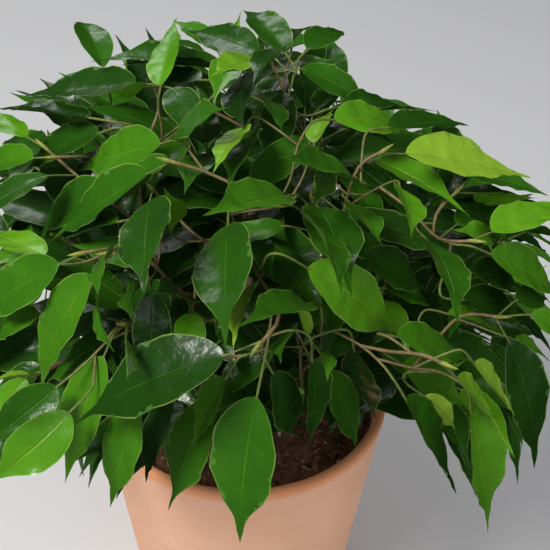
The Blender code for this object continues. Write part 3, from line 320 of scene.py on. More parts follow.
def crumb_tree():
    """Crumbs strewn on the mix: lumps of many sizes, each turned its own way, with a number for its colour."""
    sizes = {
        "Crumbs": "NodeSocketFloat",
        "Smallest": "NodeSocketFloat",
        "Largest": "NodeSocketFloat",
        "Seed": "NodeSocketInt",
        "Finish": "NodeSocketMaterial",
    }
    tree, given = new_tree("Crumbs", sizes)
    normal = tree.nodes.new("GeometryNodeInputNormal").outputs[0]
    upright = wire(tree, "ShaderNodeSeparateXYZ", {0: normal}).outputs[2]
    on_top = wire(tree, "FunctionNodeCompare", {0: upright, 1: 0.5}, data_type="FLOAT", operation="GREATER_THAN")
    feeds = {"Mesh": given[0], "Selection": on_top.outputs[0], "Density": given["Crumbs"], "Seed": given["Seed"]}
    strewn = wire(tree, "GeometryNodeDistributePointsOnFaces", feeds, distribute_method="RANDOM")
    ball = wire(tree, "GeometryNodeMeshIcoSphere", {"Radius": 1.0, "Subdivisions": 1}).outputs[0]
    draw = wire(tree, "FunctionNodeRandomValue", {"Seed": given["Seed"]}, data_type="FLOAT").outputs[1]
    skewed = maths(tree, "POWER", draw, 3.0)
    span = maths(tree, "SUBTRACT", given["Largest"], given["Smallest"])
    size = maths(tree, "MULTIPLY_ADD", skewed, span, given["Smallest"])
    feeds = {0: (0.0, 0.0, 0.0), 1: (6.28, 6.28, 6.28), "Seed": 11}
    turn = wire(tree, "FunctionNodeRandomValue", feeds, data_type="FLOAT_VECTOR")
    feeds = {0: (0.5, 0.35, 0.25), 1: (2.2, 1.0, 0.7), "Seed": 23}
    squash = wire(tree, "FunctionNodeRandomValue", feeds, data_type="FLOAT_VECTOR").outputs[0]
    scaled = wire(tree, "ShaderNodeVectorMath", {0: squash, "Scale": size}, operation="SCALE")
    points = strewn.outputs["Points"]
    feeds = {"Points": points, "Instance": ball, "Rotation": turn.outputs[0], "Scale": scaled.outputs[0]}
    strewn = wire(tree, "GeometryNodeInstanceOnPoints", feeds)
    shade = wire(tree, "FunctionNodeRandomValue", {"Seed": 37}, data_type="FLOAT").outputs[1]
    feeds = {"Geometry": strewn.outputs[0], "Name": "crumb_shade", "Value": shade}
    marked = wire(tree, "GeometryNodeStoreNamedAttribute", feeds, data_type="FLOAT", domain="INSTANCE").outputs[0]
    loose = wire(tree, "GeometryNodeRealizeInstances", {"Geometry": marked}).outputs[0]
    place = tree.nodes.new("GeometryNodeInputPosition").outputs[0]
    lumps = wire(tree, "ShaderNodeTexNoise", {"Vector": place, "Scale": 700.0, "Detail": 2.0}).outputs["Color"]
    centred = wire(tree, "ShaderNodeVectorMath", {0: lumps, 1: (0.5, 0.5, 0.5)}, operation="SUBTRACT").outputs[0]
    pushed = wire(tree, "ShaderNodeVectorMath", {0: centred, "Scale": CRUMB_RELIEF}, operation="SCALE")
    loose = wire(tree, "GeometryNodeSetPosition", {"Geometry": loose, "Offset": pushed.outputs[0]}).outputs[0]
    return end_tree(tree, loose, given)


def compost():
    """Dark compost: purplish brown, rough, with darker damp patches and fine fibres."""
    material, tree, shader = new_finish("Compost", 0.95)
    patches = grain(tree, 120.0, 6.0, 0.7)
    colour = shade_steps(tree, patches, ((0.32, (0.032, 0.013, 0.009)), (0.68, (0.260, 0.108, 0.062))))
    tree.links.new(colour, shader.inputs["Base Color"])
    emboss(tree, shader, grain(tree, 500.0, 6.0, 0.7), 0.0012)
    return material


def crumb_finish():
    """Crumbs: most are dark compost, some are brown bark, and a few are pale grit."""
    material, tree, shader = new_finish("Crumb", 0.9)
    steps = (
        (0.00, (0.040, 0.017, 0.011)),
        (0.45, (0.160, 0.062, 0.036)),
        (0.80, (0.320, 0.138, 0.075)),
        (0.94, (0.460, 0.230, 0.120)),
        (0.985, (0.60, 0.48, 0.36)),
    )
    shade = shade_steps(tree, kept(tree, "crumb_shade"), steps)
    fine = grain(tree, 1500.0, 4.0, 0.7)
    mottle = shade_steps(tree, fine, ((0.3, (0.55, 0.55, 0.55)), (0.7, (1.25, 1.25, 1.25))))
    tree.links.new(times(tree, shade, mottle), shader.inputs["Base Color"])
    emboss(tree, shader, grain(tree, 1800.0, 4.0, 0.7), 0.0005)
    return material


mix = mix_mesh()
crumbs = made_by(
    crumb_tree(),
    "crumbs",
    mix.copy(),
    {"Crumbs": CRUMBS, "Smallest": 0.0004, "Largest": 0.0020, "Seed": CRUMB_SEED, "Finish": crumb_finish()},
)
shown("potting_mix", mix, compost(), "potting_mix", "soil")
shown("crumbs", crumbs, crumb_finish(), "potting_mix", "soil")


# Five rooted cuttings stand in the one pot. Each woody stem rises from the mix, spreads from the middle, and
# carries branches that stand out to every side and droop at their ends. The wood grows here as it does in the solids.

CROWN_CENTRE = Vector((0.0, 0.0, POT_HEIGHT + 0.045))
CROWN_RADII = Vector((0.150, 0.130, 0.125))
CROWN_REACH = 0.148
STEM_RADIUS = 0.0026
STEM_TIP_RADIUS = 0.0015
STEMS = (
    dict(foot=(-0.014, -0.012), top=(-0.048, -0.034, 0.075)),
    dict(foot=(0.014, -0.012), top=(0.050, -0.032, 0.078)),
    dict(foot=(0.015, 0.013), top=(0.046, 0.040, 0.082)),
    dict(foot=(-0.014, 0.014), top=(-0.046, 0.040, 0.080)),
    dict(foot=(0.001, 0.001), top=(0.003, 0.006, 0.120)),
)
BRANCHES = 42
BRANCH_RADIUS = 0.0014
TWIG_RADIUS = 0.00095
LOWEST_SINE = -0.36
HIGHEST_SINE = 0.97
BRANCH_POINTS = 5
LOAD_COST = 0.0004
AHEAD_COST = 0.6
OUTER_COST = 0.104
PETIOLE_RADIUS = 0.00045
BLADE_THICKNESS = 0.0012
AIR = 0.0005
POT_AIR = 0.002
BEAD_SPACING = 0.002
BRANCH_JOINT = 0.008
PETIOLE_JOINT = 0.004
OWN_BLADE_REACH = 0.004
COLLAR = 0.004
BRANCH_TRIES = 30
BRANCH_REACH = (0.76, 0.90)
BRANCH_LIFT = (0.05, 0.25)
BRANCH_HANDLE = 0.35
SEED = 36


class Twig:
    """A stem, branch or side twig: points from its root to its tip, with a radius at each."""

    def __init__(self, points, first_radius, last_radius, stem):
        self.points = points
        last = len(points) - 1
        self.radii = [first_radius + (last_radius - first_radius) * i / last for i in range(len(points))]
        self.stem = stem
        self.lengths = [(b - a).length for a, b in zip(points, points[1:])]
        self.length = sum(self.lengths)
        self.used = 0.0

    def at(self, share):
        """The point, direction and radius at a share of the length."""
        left = min(max(share, 0.0), 0.9999) * self.length
        for index, length in enumerate(self.lengths):
            if left <= length or index == len(self.lengths) - 1:
                part = left / length
                start, end = self.points[index], self.points[index + 1]
                radius = self.radii[index] + (self.radii[index + 1] - self.radii[index]) * part
                return start.lerp(end, part), (end - start).normalized(), radius
            left -= length

    def bear(self, share):
        """Something grows from the twig at a share of its length."""
        self.used = max(self.used, share)

    def trim(self):
        """Cuts off the bare end, a little past the last thing that grows from the twig."""
        end, _, radius = self.at(self.used + BARE_END / self.length)
        if self.used + BARE_END / self.length > 1.0:
            return
        kept, passed = 1, 0.0
        for length in self.lengths:
            passed += length
            if passed > self.used * self.length:
                break
            kept += 1
        self.points = self.points[:kept] + [end]
        self.radii = self.radii[:kept] + [radius]
        self.lengths = [(b - a).length for a, b in zip(self.points, self.points[1:])]
        self.length = sum(self.lengths)

    def beads(self, spacing=BEAD_SPACING):
        """Balls that cover the twig."""
        count = max(2, math.ceil(self.length / spacing))
        return [self.at(i / count)[::2] for i in range(count + 1)]


def bezier(start, first, second, end, count):
    """Points along a cubic curve."""
    points = []
    for index in range(count):
        t = index / (count - 1)
        u = 1.0 - t
        points.append(start * u**3 + first * (3 * u * u * t) + second * (3 * u * t * t) + end * t**3)
    return points


def in_pot(point, air):
    """Whether a point is in the pot's wall or in the soil."""
    x, y, z = point
    if z > POT_HEIGHT + air:
        return False
    distance = math.hypot(x, y)
    inner = pot_inner_radius(min(z, POT_HEIGHT))
    if distance < inner - air:
        return z < soil_level(x, y) + air
    return distance < inner + WALL + air


class Space:
    """The blades and twigs placed so far, to keep new ones clear of them."""

    def __init__(self):
        self.blades = []
        self.middles = np.zeros((0, 3))
        self.sizes = np.zeros(0)
        self.bead_middles = np.zeros((0, 3))
        self.bead_radii = np.zeros(0)
        self.bead_stems = np.zeros(0, int)

    def near_blades(self, middle, size):
        """The blades that may reach into a ball."""
        if not self.blades:
            return []
        distances = np.linalg.norm(self.middles - np.array(middle), axis=1)
        return [self.blades[i] for i in np.flatnonzero(distances < self.sizes + size)]

    def near_beads(self, middle, size):
        """The numbers of the twigs' beads that reach into a ball."""
        if not len(self.bead_radii):
            return []
        distances = np.linalg.norm(self.bead_middles - np.array(middle), axis=1)
        return np.flatnonzero(distances < self.bead_radii + size)

    def add_leaf(self, leaf):
        """Keeps a blade's place."""
        middle, size = leaf.bounds()
        self.blades.append(leaf.own_tree())
        self.middles = np.vstack([self.middles, np.array(middle)])
        self.sizes = np.append(self.sizes, size)

    def add_twig(self, twig):
        """Keeps a twig's place."""
        beads = twig.beads()
        self.bead_middles = np.vstack([self.bead_middles, np.array([tuple(bead[0]) for bead in beads])])
        self.bead_radii = np.append(self.bead_radii, [bead[1] for bead in beads])
        self.bead_stems = np.append(self.bead_stems, [twig.stem] * len(beads))

    def leaf_is_free(self, leaf):
        """Whether a blade is clear of blades, twigs, pot and soil, and within the crown's reach."""
        for tenths in range(11):
            for t in (-1.0, 0.0, 1.0):
                point = leaf.point(tenths / 10.0, t)
                if max(abs(point.x), abs(point.y)) > CROWN_REACH or in_pot(point, POT_AIR):
                    return False
        points, faces = blade_solid(leaf, BLADE_THICKNESS + 2.0 * AIR)
        tree = BVHTree.FromPolygons(points, faces)
        middle, size = leaf.bounds()
        for blade in self.near_blades(middle, size):
            if blade.overlap(tree):
                return False
        for bead in self.near_beads(middle, size):
            found = tree.find_nearest(Vector(self.bead_middles[bead]), self.bead_radii[bead] + AIR / 2.0)
            if found[0] is not None:
                return False
        return True

    def path_is_free(self, twig, root_length, own_blade=None):
        """Whether a twig is clear of all but what it grows from, over its first root_length, and its own blade."""
        start, end = twig.points[0], twig.points[-1]
        for place, radius in twig.beads():
            if in_pot(place, radius + AIR):
                return False
            at_root = (place - start).length < root_length
            if own_blade and (place - end).length > OWN_BLADE_REACH:
                if own_blade.find_nearest(place, radius + AIR)[0] is not None:
                    return False
            for blade in self.near_blades(place, radius + AIR):
                if blade.find_nearest(place, radius + AIR)[0] is not None:
                    return False
            for bead in self.near_beads(place, radius + AIR):
                if not (at_root and self.bead_stems[bead] == twig.stem):
                    return False
        return True

    def take(self, leaf):
        """Adds a leaf and its stalk where both are clear, and says whether they were."""
        stalk = leaf.petiole()
        clear = self.leaf_is_free(leaf) and self.path_is_free(stalk, PETIOLE_JOINT)
        if clear:
            self.add_leaf(leaf)
            self.add_twig(stalk)
        return clear


def grow_stems(space):
    """The main stems: upright in their holes, then spreading."""
    stems = []
    for index, place in enumerate(STEMS):
        foot = Vector((*place["foot"], POT_HEIGHT - SOIL_DROP))
        top = Vector(place["top"]) + Vector((0.0, 0.0, POT_HEIGHT))
        foot.z = soil_level(foot.x, foot.y)
        bottom = foot - Vector((0.0, 0.0, HOLE_DEPTH - FIT_GAP))
        collar = foot + Vector((0.0, 0.0, COLLAR))
        rise = top.z - collar.z
        curve = bezier(collar, collar + Vector((0, 0, rise * 0.4)), top - Vector((0, 0, rise * 0.3)), top, 7)
        stem = Twig([bottom] + curve, STEM_RADIUS, STEM_TIP_RADIUS, index)
        stems.append(stem)
        space.add_twig(stem)
    return stems


def crown_offset(point):
    """A point's place as a share of the crown's radii."""
    offset = point - CROWN_CENTRE
    return Vector(offset[axis] / CROWN_RADII[axis] for axis in range(3))


def crown_level(point):
    """How far out a point lies: 1 is the crown's ellipsoid."""
    return crown_offset(point).length


def crown_outward(point):
    """The way out of the crown at a point."""
    offset = crown_offset(point)
    return Vector(offset[axis] / CROWN_RADII[axis] for axis in range(3)).normalized()


def grow_branches(space, stems, load, rng):
    """Branches from the stems to places spread evenly over the crown."""
    branches = []
    for index in range(BRANCHES):
        for attempt in range(BRANCH_TRIES):
            loose = attempt / BRANCH_TRIES
            sine = LOWEST_SINE + (HIGHEST_SINE - LOWEST_SINE) * (index + 0.5) / BRANCHES
            sine += rng.uniform(-0.06, 0.06) * loose
            azimuth = index * math.pi * (3.0 - math.sqrt(5.0)) + rng.uniform(-0.35, 0.35) * loose
            flat = math.sqrt(1.0 - sine * sine)
            way = Vector((math.cos(azimuth) * flat, math.sin(azimuth) * flat, sine))
            reach = rng.uniform(*BRANCH_REACH) - 0.15 * loose
            tip = CROWN_CENTRE + Vector(way[axis] * CROWN_RADII[axis] * reach for axis in range(3))
            stem = min(stems, key=lambda one: (one.points[-1] - tip).length + 6.0 * LOAD_COST * load[one.stem])
            height = 0.50 + 0.45 * (sine - LOWEST_SINE) / (1.0 - LOWEST_SINE) + rng.uniform(-0.05, 0.05)
            start = stem.at(height)[0]
            span = (tip - start).length
            outward = Vector((way.x, way.y, 0.25)).normalized()
            droop = Vector((way.x, way.y, 0.75 * sine - 0.15)).normalized()
            lift = Vector((0.0, 0.0, span * rng.uniform(*BRANCH_LIFT)))
            first = start + outward * span * BRANCH_HANDLE + lift
            last = tip - droop * span * BRANCH_HANDLE
            curve = bezier(start, first, last, tip, BRANCH_POINTS)
            branch = Twig(curve, BRANCH_RADIUS, TWIG_RADIUS, stem.stem)
            if space.path_is_free(branch, BRANCH_JOINT):
                branches.append(branch)
                space.add_twig(branch)
                load[stem.stem] += 1
                break
    return branches


growth = random.Random(SEED)
space = Space()
stems = grow_stems(space)
load = [0] * len(stems)
branches = grow_branches(space, stems, load, growth)


# The leaves that the picture shows best. A fig leaf is a thin, leathery, glossy blade on a slim stalk: rounded
# below, folded a little at its midrib, drooping, and drawn out to a drip tip. Each grows from the wood nearby, those
# farther off on a side twig.

VIEW_POINT = Vector((0.014, -0.366, POT_HEIGHT + 0.330))
VIEW_PITCH = math.radians(35.62)
VIEW_ROLL = math.radians(-1.55)
VIEW_FOCAL = 1000.0
VIEW_MIDDLE = 275.0
PLACE_SPACING = 0.007
SIGHT_SPACING = 0.004
SHORTEST_STALK = 0.006
PLAIN_STALK = 0.026
LONG_STALK = 0.034
STALK_JOINT = 0.006
LAYER_TRIES = 30
LAYER_OUT = 0.006
LAYER_IN = 0.009
BARE_END = 0.003
STALK_BENDS = ((0.6, 0.3, 0.3), (0.0, 0.15, 0.3), (0.6, 0.3, 0.0), (1.2, 0.5, 0.1), (-0.6, 0.4, 0.3))
SHARPEST_BEND = math.radians(70.0)
FEWEST_WAYS = 8
MOST_WAYS = 20
MOST_PLACES = 140
SHOWN_COST = 5.0
LITTLE_SHOWN = 0.006
PETIOLE = 0.010
STALK_RADIUS = 0.00055
SLENDERNESS = 0.41
BLADE_ROOT = 0.0009
LEAST_SLENDERNESS = 0.33
MOST_CURL = 0.9
WIDEST_AT = 0.36
TEST_STATIONS = (0.15, 0.30, 0.50, 0.70, 0.86)
MIDDLE_STATION = 0.45
LENGTHS = (0.026, 0.066)
# What each leaf's own bend, breadth, fold, twist and wave are drawn from
CURLS = (0.2, 0.6)
BREADTHS = (0.84, 1.02)
FOLDS = (8.0, 22.0)
TWISTS = (-9.0, 9.0)
WAVES = (0.02, 0.07)
# Each leaf's base and tip in pixels, read one by one, how far out it lies, its length in metres or 0 where its place
# gives it, how many pixels wide it shows, how many its middle lies to the left of the line from base to tip, and its
# tone, from 0 for dark to 1 for bright: partly its age, old leaves dark and young ones pale, and partly painted light
# and shade, higher where the leaf is lit or glossy and lower where others shade it
LEAF_READINGS = (
    # Low in front, over the lip
    (226, 355, 75, 425, 1.3, 0.064, 65, 0, 0.27), (257, 396, 240, 543, 1.22, 0.062, 64, 0, 0.52),
    (104, 356, 65, 484, 1.06, 0.058, 44, 0, 0.65), (58, 386, -18, 448, 1.1, 0, 44, 0, 0.45),
    (70, 412, -15, 483, 1.1, 0, 48, 5, 0.7), (226, 378, 193, 448, 1.15, 0.04, 26, -7, 0.6),
    (138, 402, 110, 508, 1.1, 0.056, 38, -5, 0.6), (174, 400, 146, 484, 1.05, 0.048, 24, 0, 0.3),
    (210, 402, 168, 511, 1.05, 0.056, 45, -3, 0.55), (272, 372, 289, 442, 1.12, 0.044, 30, 0, 0.3),
    (312, 360, 308, 446, 1.12, 0.046, 26, 0, 0.35), (322, 372, 355, 450, 1.02, 0.048, 30, 0, 0.52),
    (354, 350, 377, 421, 1.0, 0.044, 28, -3, 0.25), (316, 348, 327, 382, 1.12, 0.026, 14, 0, 0.6),
    (126, 338, 127, 382, 1.1, 0.028, 12, 3, 0.7),
    # Right, low
    (405, 398, 457, 496, 1.2, 0.06, 24, 10, 0.5), (471, 411, 488, 533, 1.22, 0.064, 34, 2, 0.75),
    (457, 378, 497, 432, 1.3, 0.04, 10, 9, 0.85), (474, 364, 515, 416, 1.22, 0.04, 14, 6, 0.95),
    (424, 396, 455, 430, 1.1, 0.026, 20, 0, 1.0), (402, 364, 468, 408, 1.18, 0.05, 38, 2, 0.65),
    (398, 337, 470, 362, 1.18, 0.048, 28, 0, 0.6), (508, 340, 534, 470, 1.06, 0.066, 38, 0, 0.3),
    (448, 314, 512, 342, 1.06, 0.036, 10, 0, 0.7), (515, 340, 550, 362, 1.06, 0.026, 9, 0, 0.65),
    # Middle
    (307, 268, 395, 338, 1.22, 0.058, 50, 0, 0.78), (228, 224, 226, 350, 1.18, 0.06, 58, -3, 0.4),
    (304, 215, 342, 300, 1.24, 0.052, 18, 0, 0.55), (318, 207, 352, 298, 1.13, 0.058, 54, 9, 0.4),
    (256, 282, 233, 350, 1.12, 0.042, 22, 0, 1.0), (202, 266, 216, 337, 1.12, 0.042, 22, 0, 0.6),
    (287, 238, 224, 312, 1.1, 0.054, 44, 0, 0.25), (309, 304, 238, 327, 1.14, 0.048, 36, 0, 0.5),
    (290, 330, 281, 364, 1.06, 0.036, 24, 0, 0.58), (322, 300, 305, 352, 1.04, 0.04, 30, 0, 0.4),
    (287, 196, 202, 216, 1.14, 0.056, 40, -10, 0.6), (150, 200, 144, 296, 1.12, 0.062, 52, -2, 0.35),
    (174, 226, 163, 187, 1.05, 0.03, 22, 0, 0.75), (140, 286, 133, 322, 1.0, 0.032, 16, 0, 0.45),
    (188, 302, 148, 296, 1.0, 0.04, 20, 0, 0.35),
    # Left
    (149, 173, 47, 245, 1.14, 0.064, 30, -4, 0.48), (60, 264, -25, 320, 1.14, 0.056, 44, 0, 0.55),
    (44, 256, -25, 228, 1.12, 0.046, 24, -3, 0.8), (93, 275, 42, 392, 1.16, 0.06, 34, -15, 0.6),
    (106, 342, 45, 386, 1.1, 0.05, 22, 0, 0.55), (98, 296, 115, 353, 1.12, 0.034, 12, 0, 0.55),
    (112, 252, 98, 298, 1.1, 0.034, 16, 0, 0.55), (118, 222, 60, 243, 1.06, 0.044, 14, 0, 0.45),
    (40, 315, -5, 342, 1.06, 0.036, 20, 0, 0.6), (108, 184, 40, 240, 1.04, 0.052, 30, 0, 0.45),
    (161, 144, 79, 171, 1.1, 0.058, 40, -7, 0.6), (100, 133, 22, 176, 1.02, 0.054, 26, 0, 0.35),
    (34, 158, -32, 172, 1.02, 0.044, 24, 0, 0.58),
    # Right, high
    (405, 154, 532, 178, 1.1, 0.068, 38, 6, 0.95), (334, 120, 411, 133, 1.1, 0.05, 28, 0, 0.75),
    (354, 180, 277, 156, 1.14, 0.052, 24, -6, 0.55), (400, 188, 411, 239, 1.1, 0.042, 28, 0, 0.75),
    (492, 232, 572, 202, 1.14, 0.052, 34, 0, 0.8), (491, 239, 452, 230, 1.1, 0.03, 22, 0, 0.75),
    (490, 254, 560, 300, 1.12, 0.054, 34, 0, 0.65), (428, 241, 458, 327, 1.16, 0.054, 36, 12, 0.5),
    (350, 203, 383, 247, 1.04, 0.038, 22, 3, 0.6), (362, 258, 428, 293, 1.06, 0.05, 36, 0, 0.35),
    (385, 288, 432, 312, 1.0, 0.04, 18, 0, 0.5), (470, 272, 525, 292, 1.04, 0.046, 26, 0, 0.3),
    (462, 300, 528, 325, 1.0, 0.05, 30, 0, 0.3), (322, 150, 312, 210, 1.06, 0.046, 28, 0, 0.4),
    # Top
    (258, 58, 208, 79, 1.12, 0.042, 21, -4, 0.85), (283, 50, 252, 88, 1.14, 0.04, 22, 0, 0.3),
    (246, 126, 213, 173, 1.14, 0.038, 20, -5, 0.85), (176, 133, 229, 107, 1.1, 0.046, 26, 6, 0.5),
    (211, 152, 184, 195, 1.06, 0.044, 30, 0, 0.45), (254, 132, 228, 188, 1.06, 0.046, 30, 0, 0.4),
    (315, 143, 333, 110, 1.08, 0.032, 18, 0, 0.85), (265, 98, 282, 132, 1.04, 0.036, 20, 0, 0.45),
    (244, 74, 243, 130, 1.04, 0.052, 36, -2, 0.2), (144, 87, 108, 91, 1.12, 0.028, 16, 2, 0.8),
    (137, 84, 24, 96, 1.06, 0.06, 30, -5, 0.3), (200, 80, 134, 76, 1.06, 0.046, 18, -4, 0.25),
    (90, 118, -12, 108, 1.04, 0.054, 12, -5, 0.2), (27, 137, -35, 112, 1.04, 0.04, 20, 0, 0.75),
    (161, 86, 177, 17, 1.1, 0.044, 26, 3, 0.7), (103, 68, 73, 23, 1.06, 0.044, 28, -10, 0.45),
    (308, 50, 344, 33, 1.06, 0.042, 22, 8, 0.4), (388, 128, 470, 126, 1.04, 0.046, 20, 0, 0.35),
    (346, 106, 410, 112, 1.04, 0.044, 16, 0, 0.35), (258, 52, 187, 31, 1.04, 0.05, 32, 0, 0.33),
    (286, 54, 242, 10, 1.04, 0.05, 30, 0, 0.38), (305, 108, 292, 72, 1.02, 0.042, 24, 0, 0.25),
    (318, 110, 341, 86, 1.02, 0.036, 18, 0, 0.35), (475, 193, 537, 198, 1.02, 0.04, 12, -1, 0.8),
)
SEEN_LEAVES = [
    dict(base=row[:2], tip=row[2:4], layer=row[4], length=row[5], width=row[6], bow=row[7], tone=row[8])
    for row in LEAF_READINGS
]


def view_axes():
    """The picture's rightward and downward directions and the way it looks."""
    forward = Vector((0.0, math.cos(VIEW_PITCH), -math.sin(VIEW_PITCH)))
    right = Vector((1.0, 0.0, 0.0))
    down = forward.cross(right)
    cosine, sine = math.cos(VIEW_ROLL), math.sin(VIEW_ROLL)
    return right * cosine + down * sine, down * cosine - right * sine, forward


VIEW_RIGHT, VIEW_DOWN, VIEW_FORWARD = view_axes()


def ray_through(pixel):
    """The direction from the view point through a pixel."""
    across = (pixel[0] - VIEW_MIDDLE) / VIEW_FOCAL
    below = (pixel[1] - VIEW_MIDDLE) / VIEW_FOCAL
    return (VIEW_FORWARD + VIEW_RIGHT * across + VIEW_DOWN * below).normalized()


def pixel_of(point):
    """Where a point shows in the picture."""
    offset = point - VIEW_POINT
    depth = offset.dot(VIEW_FORWARD)
    return (
        VIEW_MIDDLE + VIEW_FOCAL * offset.dot(VIEW_RIGHT) / depth,
        VIEW_MIDDLE + VIEW_FOCAL * offset.dot(VIEW_DOWN) / depth,
    )


def on_crown(pixel, layer):
    """The point of a layer of the crown that a pixel shows, or the nearest one where it shows none."""
    direction = ray_through(pixel)
    start = crown_offset(VIEW_POINT)
    way = Vector(direction[axis] / CROWN_RADII[axis] for axis in range(3))
    nearest = -start.dot(way) / way.dot(way)
    missed_by = start.dot(start) - start.dot(way) ** 2 / way.dot(way)
    back = math.sqrt(max(0.0, (layer * layer - missed_by) / way.dot(way)))
    return VIEW_POINT + direction * (nearest - back)


def outline(s):
    """A blade's width at a share s of its length, 1 at its widest: rounded below, drawn out to a drip tip."""
    if s < WIDEST_AT:
        return max(0.0, 1.0 - ((WIDEST_AT - s) / WIDEST_AT) ** 2.1) ** 0.72
    past = (s - WIDEST_AT) / (1.0 - WIDEST_AT)
    narrowing = min(1.0, max(0.0, (s - 0.50) / 0.36))
    narrowing = narrowing * narrowing * (3.0 - 2.0 * narrowing)
    return (1.0 - past**1.9) * (1.0 - 0.66 * narrowing)


class Leaf:
    """A blade from base to tip that faces a direction, bends down along its length and folds at the midrib."""

    def __init__(self, base, tip, facing, character, stem=0):
        chord = tip - base
        forward = chord.normalized()
        facing = (facing - forward * facing.dot(forward)).normalized()
        curl = character["curl"]
        rise = math.atan2(curl / 2.0, 1.0 - curl * curl / 6.0)
        self.base = base
        self.tip = tip
        self.along = forward * math.cos(rise) + facing * math.sin(rise)
        self.up = facing * math.cos(rise) - forward * math.sin(rise)
        self.side = self.up.cross(self.along)
        self.length = chord.length / math.hypot(curl / 2.0, 1.0 - curl * curl / 6.0)
        self.width = self.length * character["slenderness"]
        self.curl = curl
        self.fold = character["fold"]
        self.twist = character["twist"]
        self.wave = character["wave"]
        self.phase = character["phase"]
        self.stem = stem
        self.stalk = None
        self.stalk_radius = PETIOLE_RADIUS

    def point(self, s, t):
        """The point of the blade at s from base to tip and t from one margin (-1) to the other (1)."""
        half = 0.5 * self.width * outline(s)
        ahead = self.length * (s - self.curl**2 * s**3 / 6.0)
        drop = self.length * self.curl * s * s / 2.0
        across = t * half * math.cos(self.fold)
        ripple = self.wave * self.width * math.sin(2.0 * math.pi * (1.4 * s + self.phase) + t)
        lift = abs(t) ** 1.3 * half * math.sin(self.fold) + t * t * ripple * math.sin(math.pi * s)
        turned = self.twist * s
        sideways = across * math.cos(turned) - lift * math.sin(turned)
        upwards = across * math.sin(turned) + lift * math.cos(turned)
        return self.base + self.along * ahead + self.side * sideways + self.up * (upwards - drop)

    def normal(self, s):
        """The way that the upper face looks at the midrib."""
        bend = self.curl * s
        return self.up * math.cos(bend) + self.along * math.sin(bend)

    def body(self, stations, thickness):
        """Rings of four points from the base on: a margin, the midrib's top, the other margin, the midrib's back."""
        offset = self.up * thickness / 2.0
        left, right = self.base - self.side * BLADE_ROOT, self.base + self.side * BLADE_ROOT
        rings = [[left, self.base + offset, right, self.base - offset]]
        for s in stations:
            middle = self.point(s, 0.0)
            offset = self.normal(s) * thickness / 2.0
            rings.append([self.point(s, -1.0), middle + offset, self.point(s, 1.0), middle - offset])
        return rings

    def own_tree(self):
        """The blade as a tree of triangles, to test what passes near it."""
        return tree_of([self])

    def petiole(self):
        """The stalk as a twig."""
        return Twig(self.stalk, PETIOLE_RADIUS, PETIOLE_RADIUS, self.stem)

    def bounds(self):
        """A ball round the blade."""
        middle = self.point(MIDDLE_STATION, 0.0)
        return middle, max((self.base - middle).length, (self.tip - middle).length) + 0.001


def blade_solid(leaf, thickness):
    """Points and triangles of a closed blade, to test what passes near it."""
    rings = leaf.body(TEST_STATIONS, thickness)
    points = [corner for ring in rings for corner in ring] + [leaf.tip]
    faces = [(0, 1, 2), (0, 2, 3)]
    for start in range(0, 4 * (len(rings) - 1), 4):
        margin, top, other, below = range(start, start + 4)
        faces += [(margin, margin + 4, top + 4), (margin, top + 4, top)]
        faces += [(other, top, top + 4), (other, top + 4, other + 4)]
        faces += [(margin, below, below + 4), (margin, below + 4, margin + 4)]
        faces += [(other, other + 4, below + 4), (other, below + 4, below)]
    margin, top, other, below = range(4 * (len(rings) - 1), 4 * len(rings))
    tip = len(points) - 1
    faces += [(margin, tip, top), (top, tip, other), (other, tip, below), (below, tip, margin)]
    return points, faces


def tree_of(leaves):
    """The blades of some leaves as one tree of triangles."""
    points, faces = [], []
    for leaf in leaves:
        own_points, own_faces = blade_solid(leaf, BLADE_THICKNESS)
        faces += [tuple(corner + len(points) for corner in face) for face in own_faces]
        points += own_points
    return BVHTree.FromPolygons(points, faces)


def random_character(rng):
    """How one leaf differs from the next."""
    return dict(
        curl=rng.uniform(*CURLS),
        slenderness=SLENDERNESS * rng.uniform(*BREADTHS),
        fold=math.radians(rng.uniform(*FOLDS)),
        twist=math.radians(rng.uniform(*TWISTS)),
        wave=rng.uniform(*WAVES),
        phase=rng.random(),
    )


def shown_as(entry, base, tip, length, character):
    """A leaf between two points, as wide as its entry says, turned and bent so that it bows as the entry says."""
    half_way = (base + tip) / 2.0
    to_view = VIEW_POINT - half_way
    metres = to_view.length / VIEW_FOCAL
    chord = (tip - base).normalized()
    towards = (to_view - chord * to_view.dot(chord)).normalized()
    leftward = towards.cross(chord)
    shown = entry["width"] * metres
    bow = entry["bow"] * metres
    slenderness = min(max(1.2 * shown / length, LEAST_SLENDERNESS), SLENDERNESS)
    width = max(slenderness * length, shown)
    lift = 0.5 * width * math.sin(character["fold"])
    deepest = MOST_CURL * length / 8.0 + lift
    turn = max(math.acos(min(1.0, shown / width)), math.asin(min(0.9, abs(bow) / deepest)))
    width = max(width, min(shown / math.cos(turn), 0.5 * length))
    natural = leftward.dot(crown_outward(half_way) + Vector((0.0, 0.0, 1.0)))
    turn = math.copysign(turn, bow or natural)
    curl = character["curl"]
    if bow:
        curl = min(max(8.0 * (bow / math.sin(turn) - lift) / length, 0.1), MOST_CURL)
    facing = towards * math.cos(turn) + leftward * math.sin(turn)
    return Leaf(base, tip, facing, dict(character, slenderness=width / length, curl=curl))


def seen_leaf(entry, layer, character):
    """A leaf that covers the pixels of an entry, at one layer of the crown."""
    base = on_crown(entry["base"], layer)
    direction = ray_through(entry["tip"])
    middle = (base - VIEW_POINT).dot(direction)
    apart = (VIEW_POINT + direction * middle - base).length
    length = max(entry["length"] or min(max(1.12 * apart, LENGTHS[0]), LENGTHS[1]), 1.02 * apart)
    reach = math.sqrt(max(0.0, length * length - apart * apart))
    tips = [VIEW_POINT + direction * (middle + reach * way) for way in (-1.0, 1.0)]
    tip = min(tips, key=lambda place: abs(crown_level(place) - layer - 0.06))
    return shown_as(entry, base, tip, length, character)


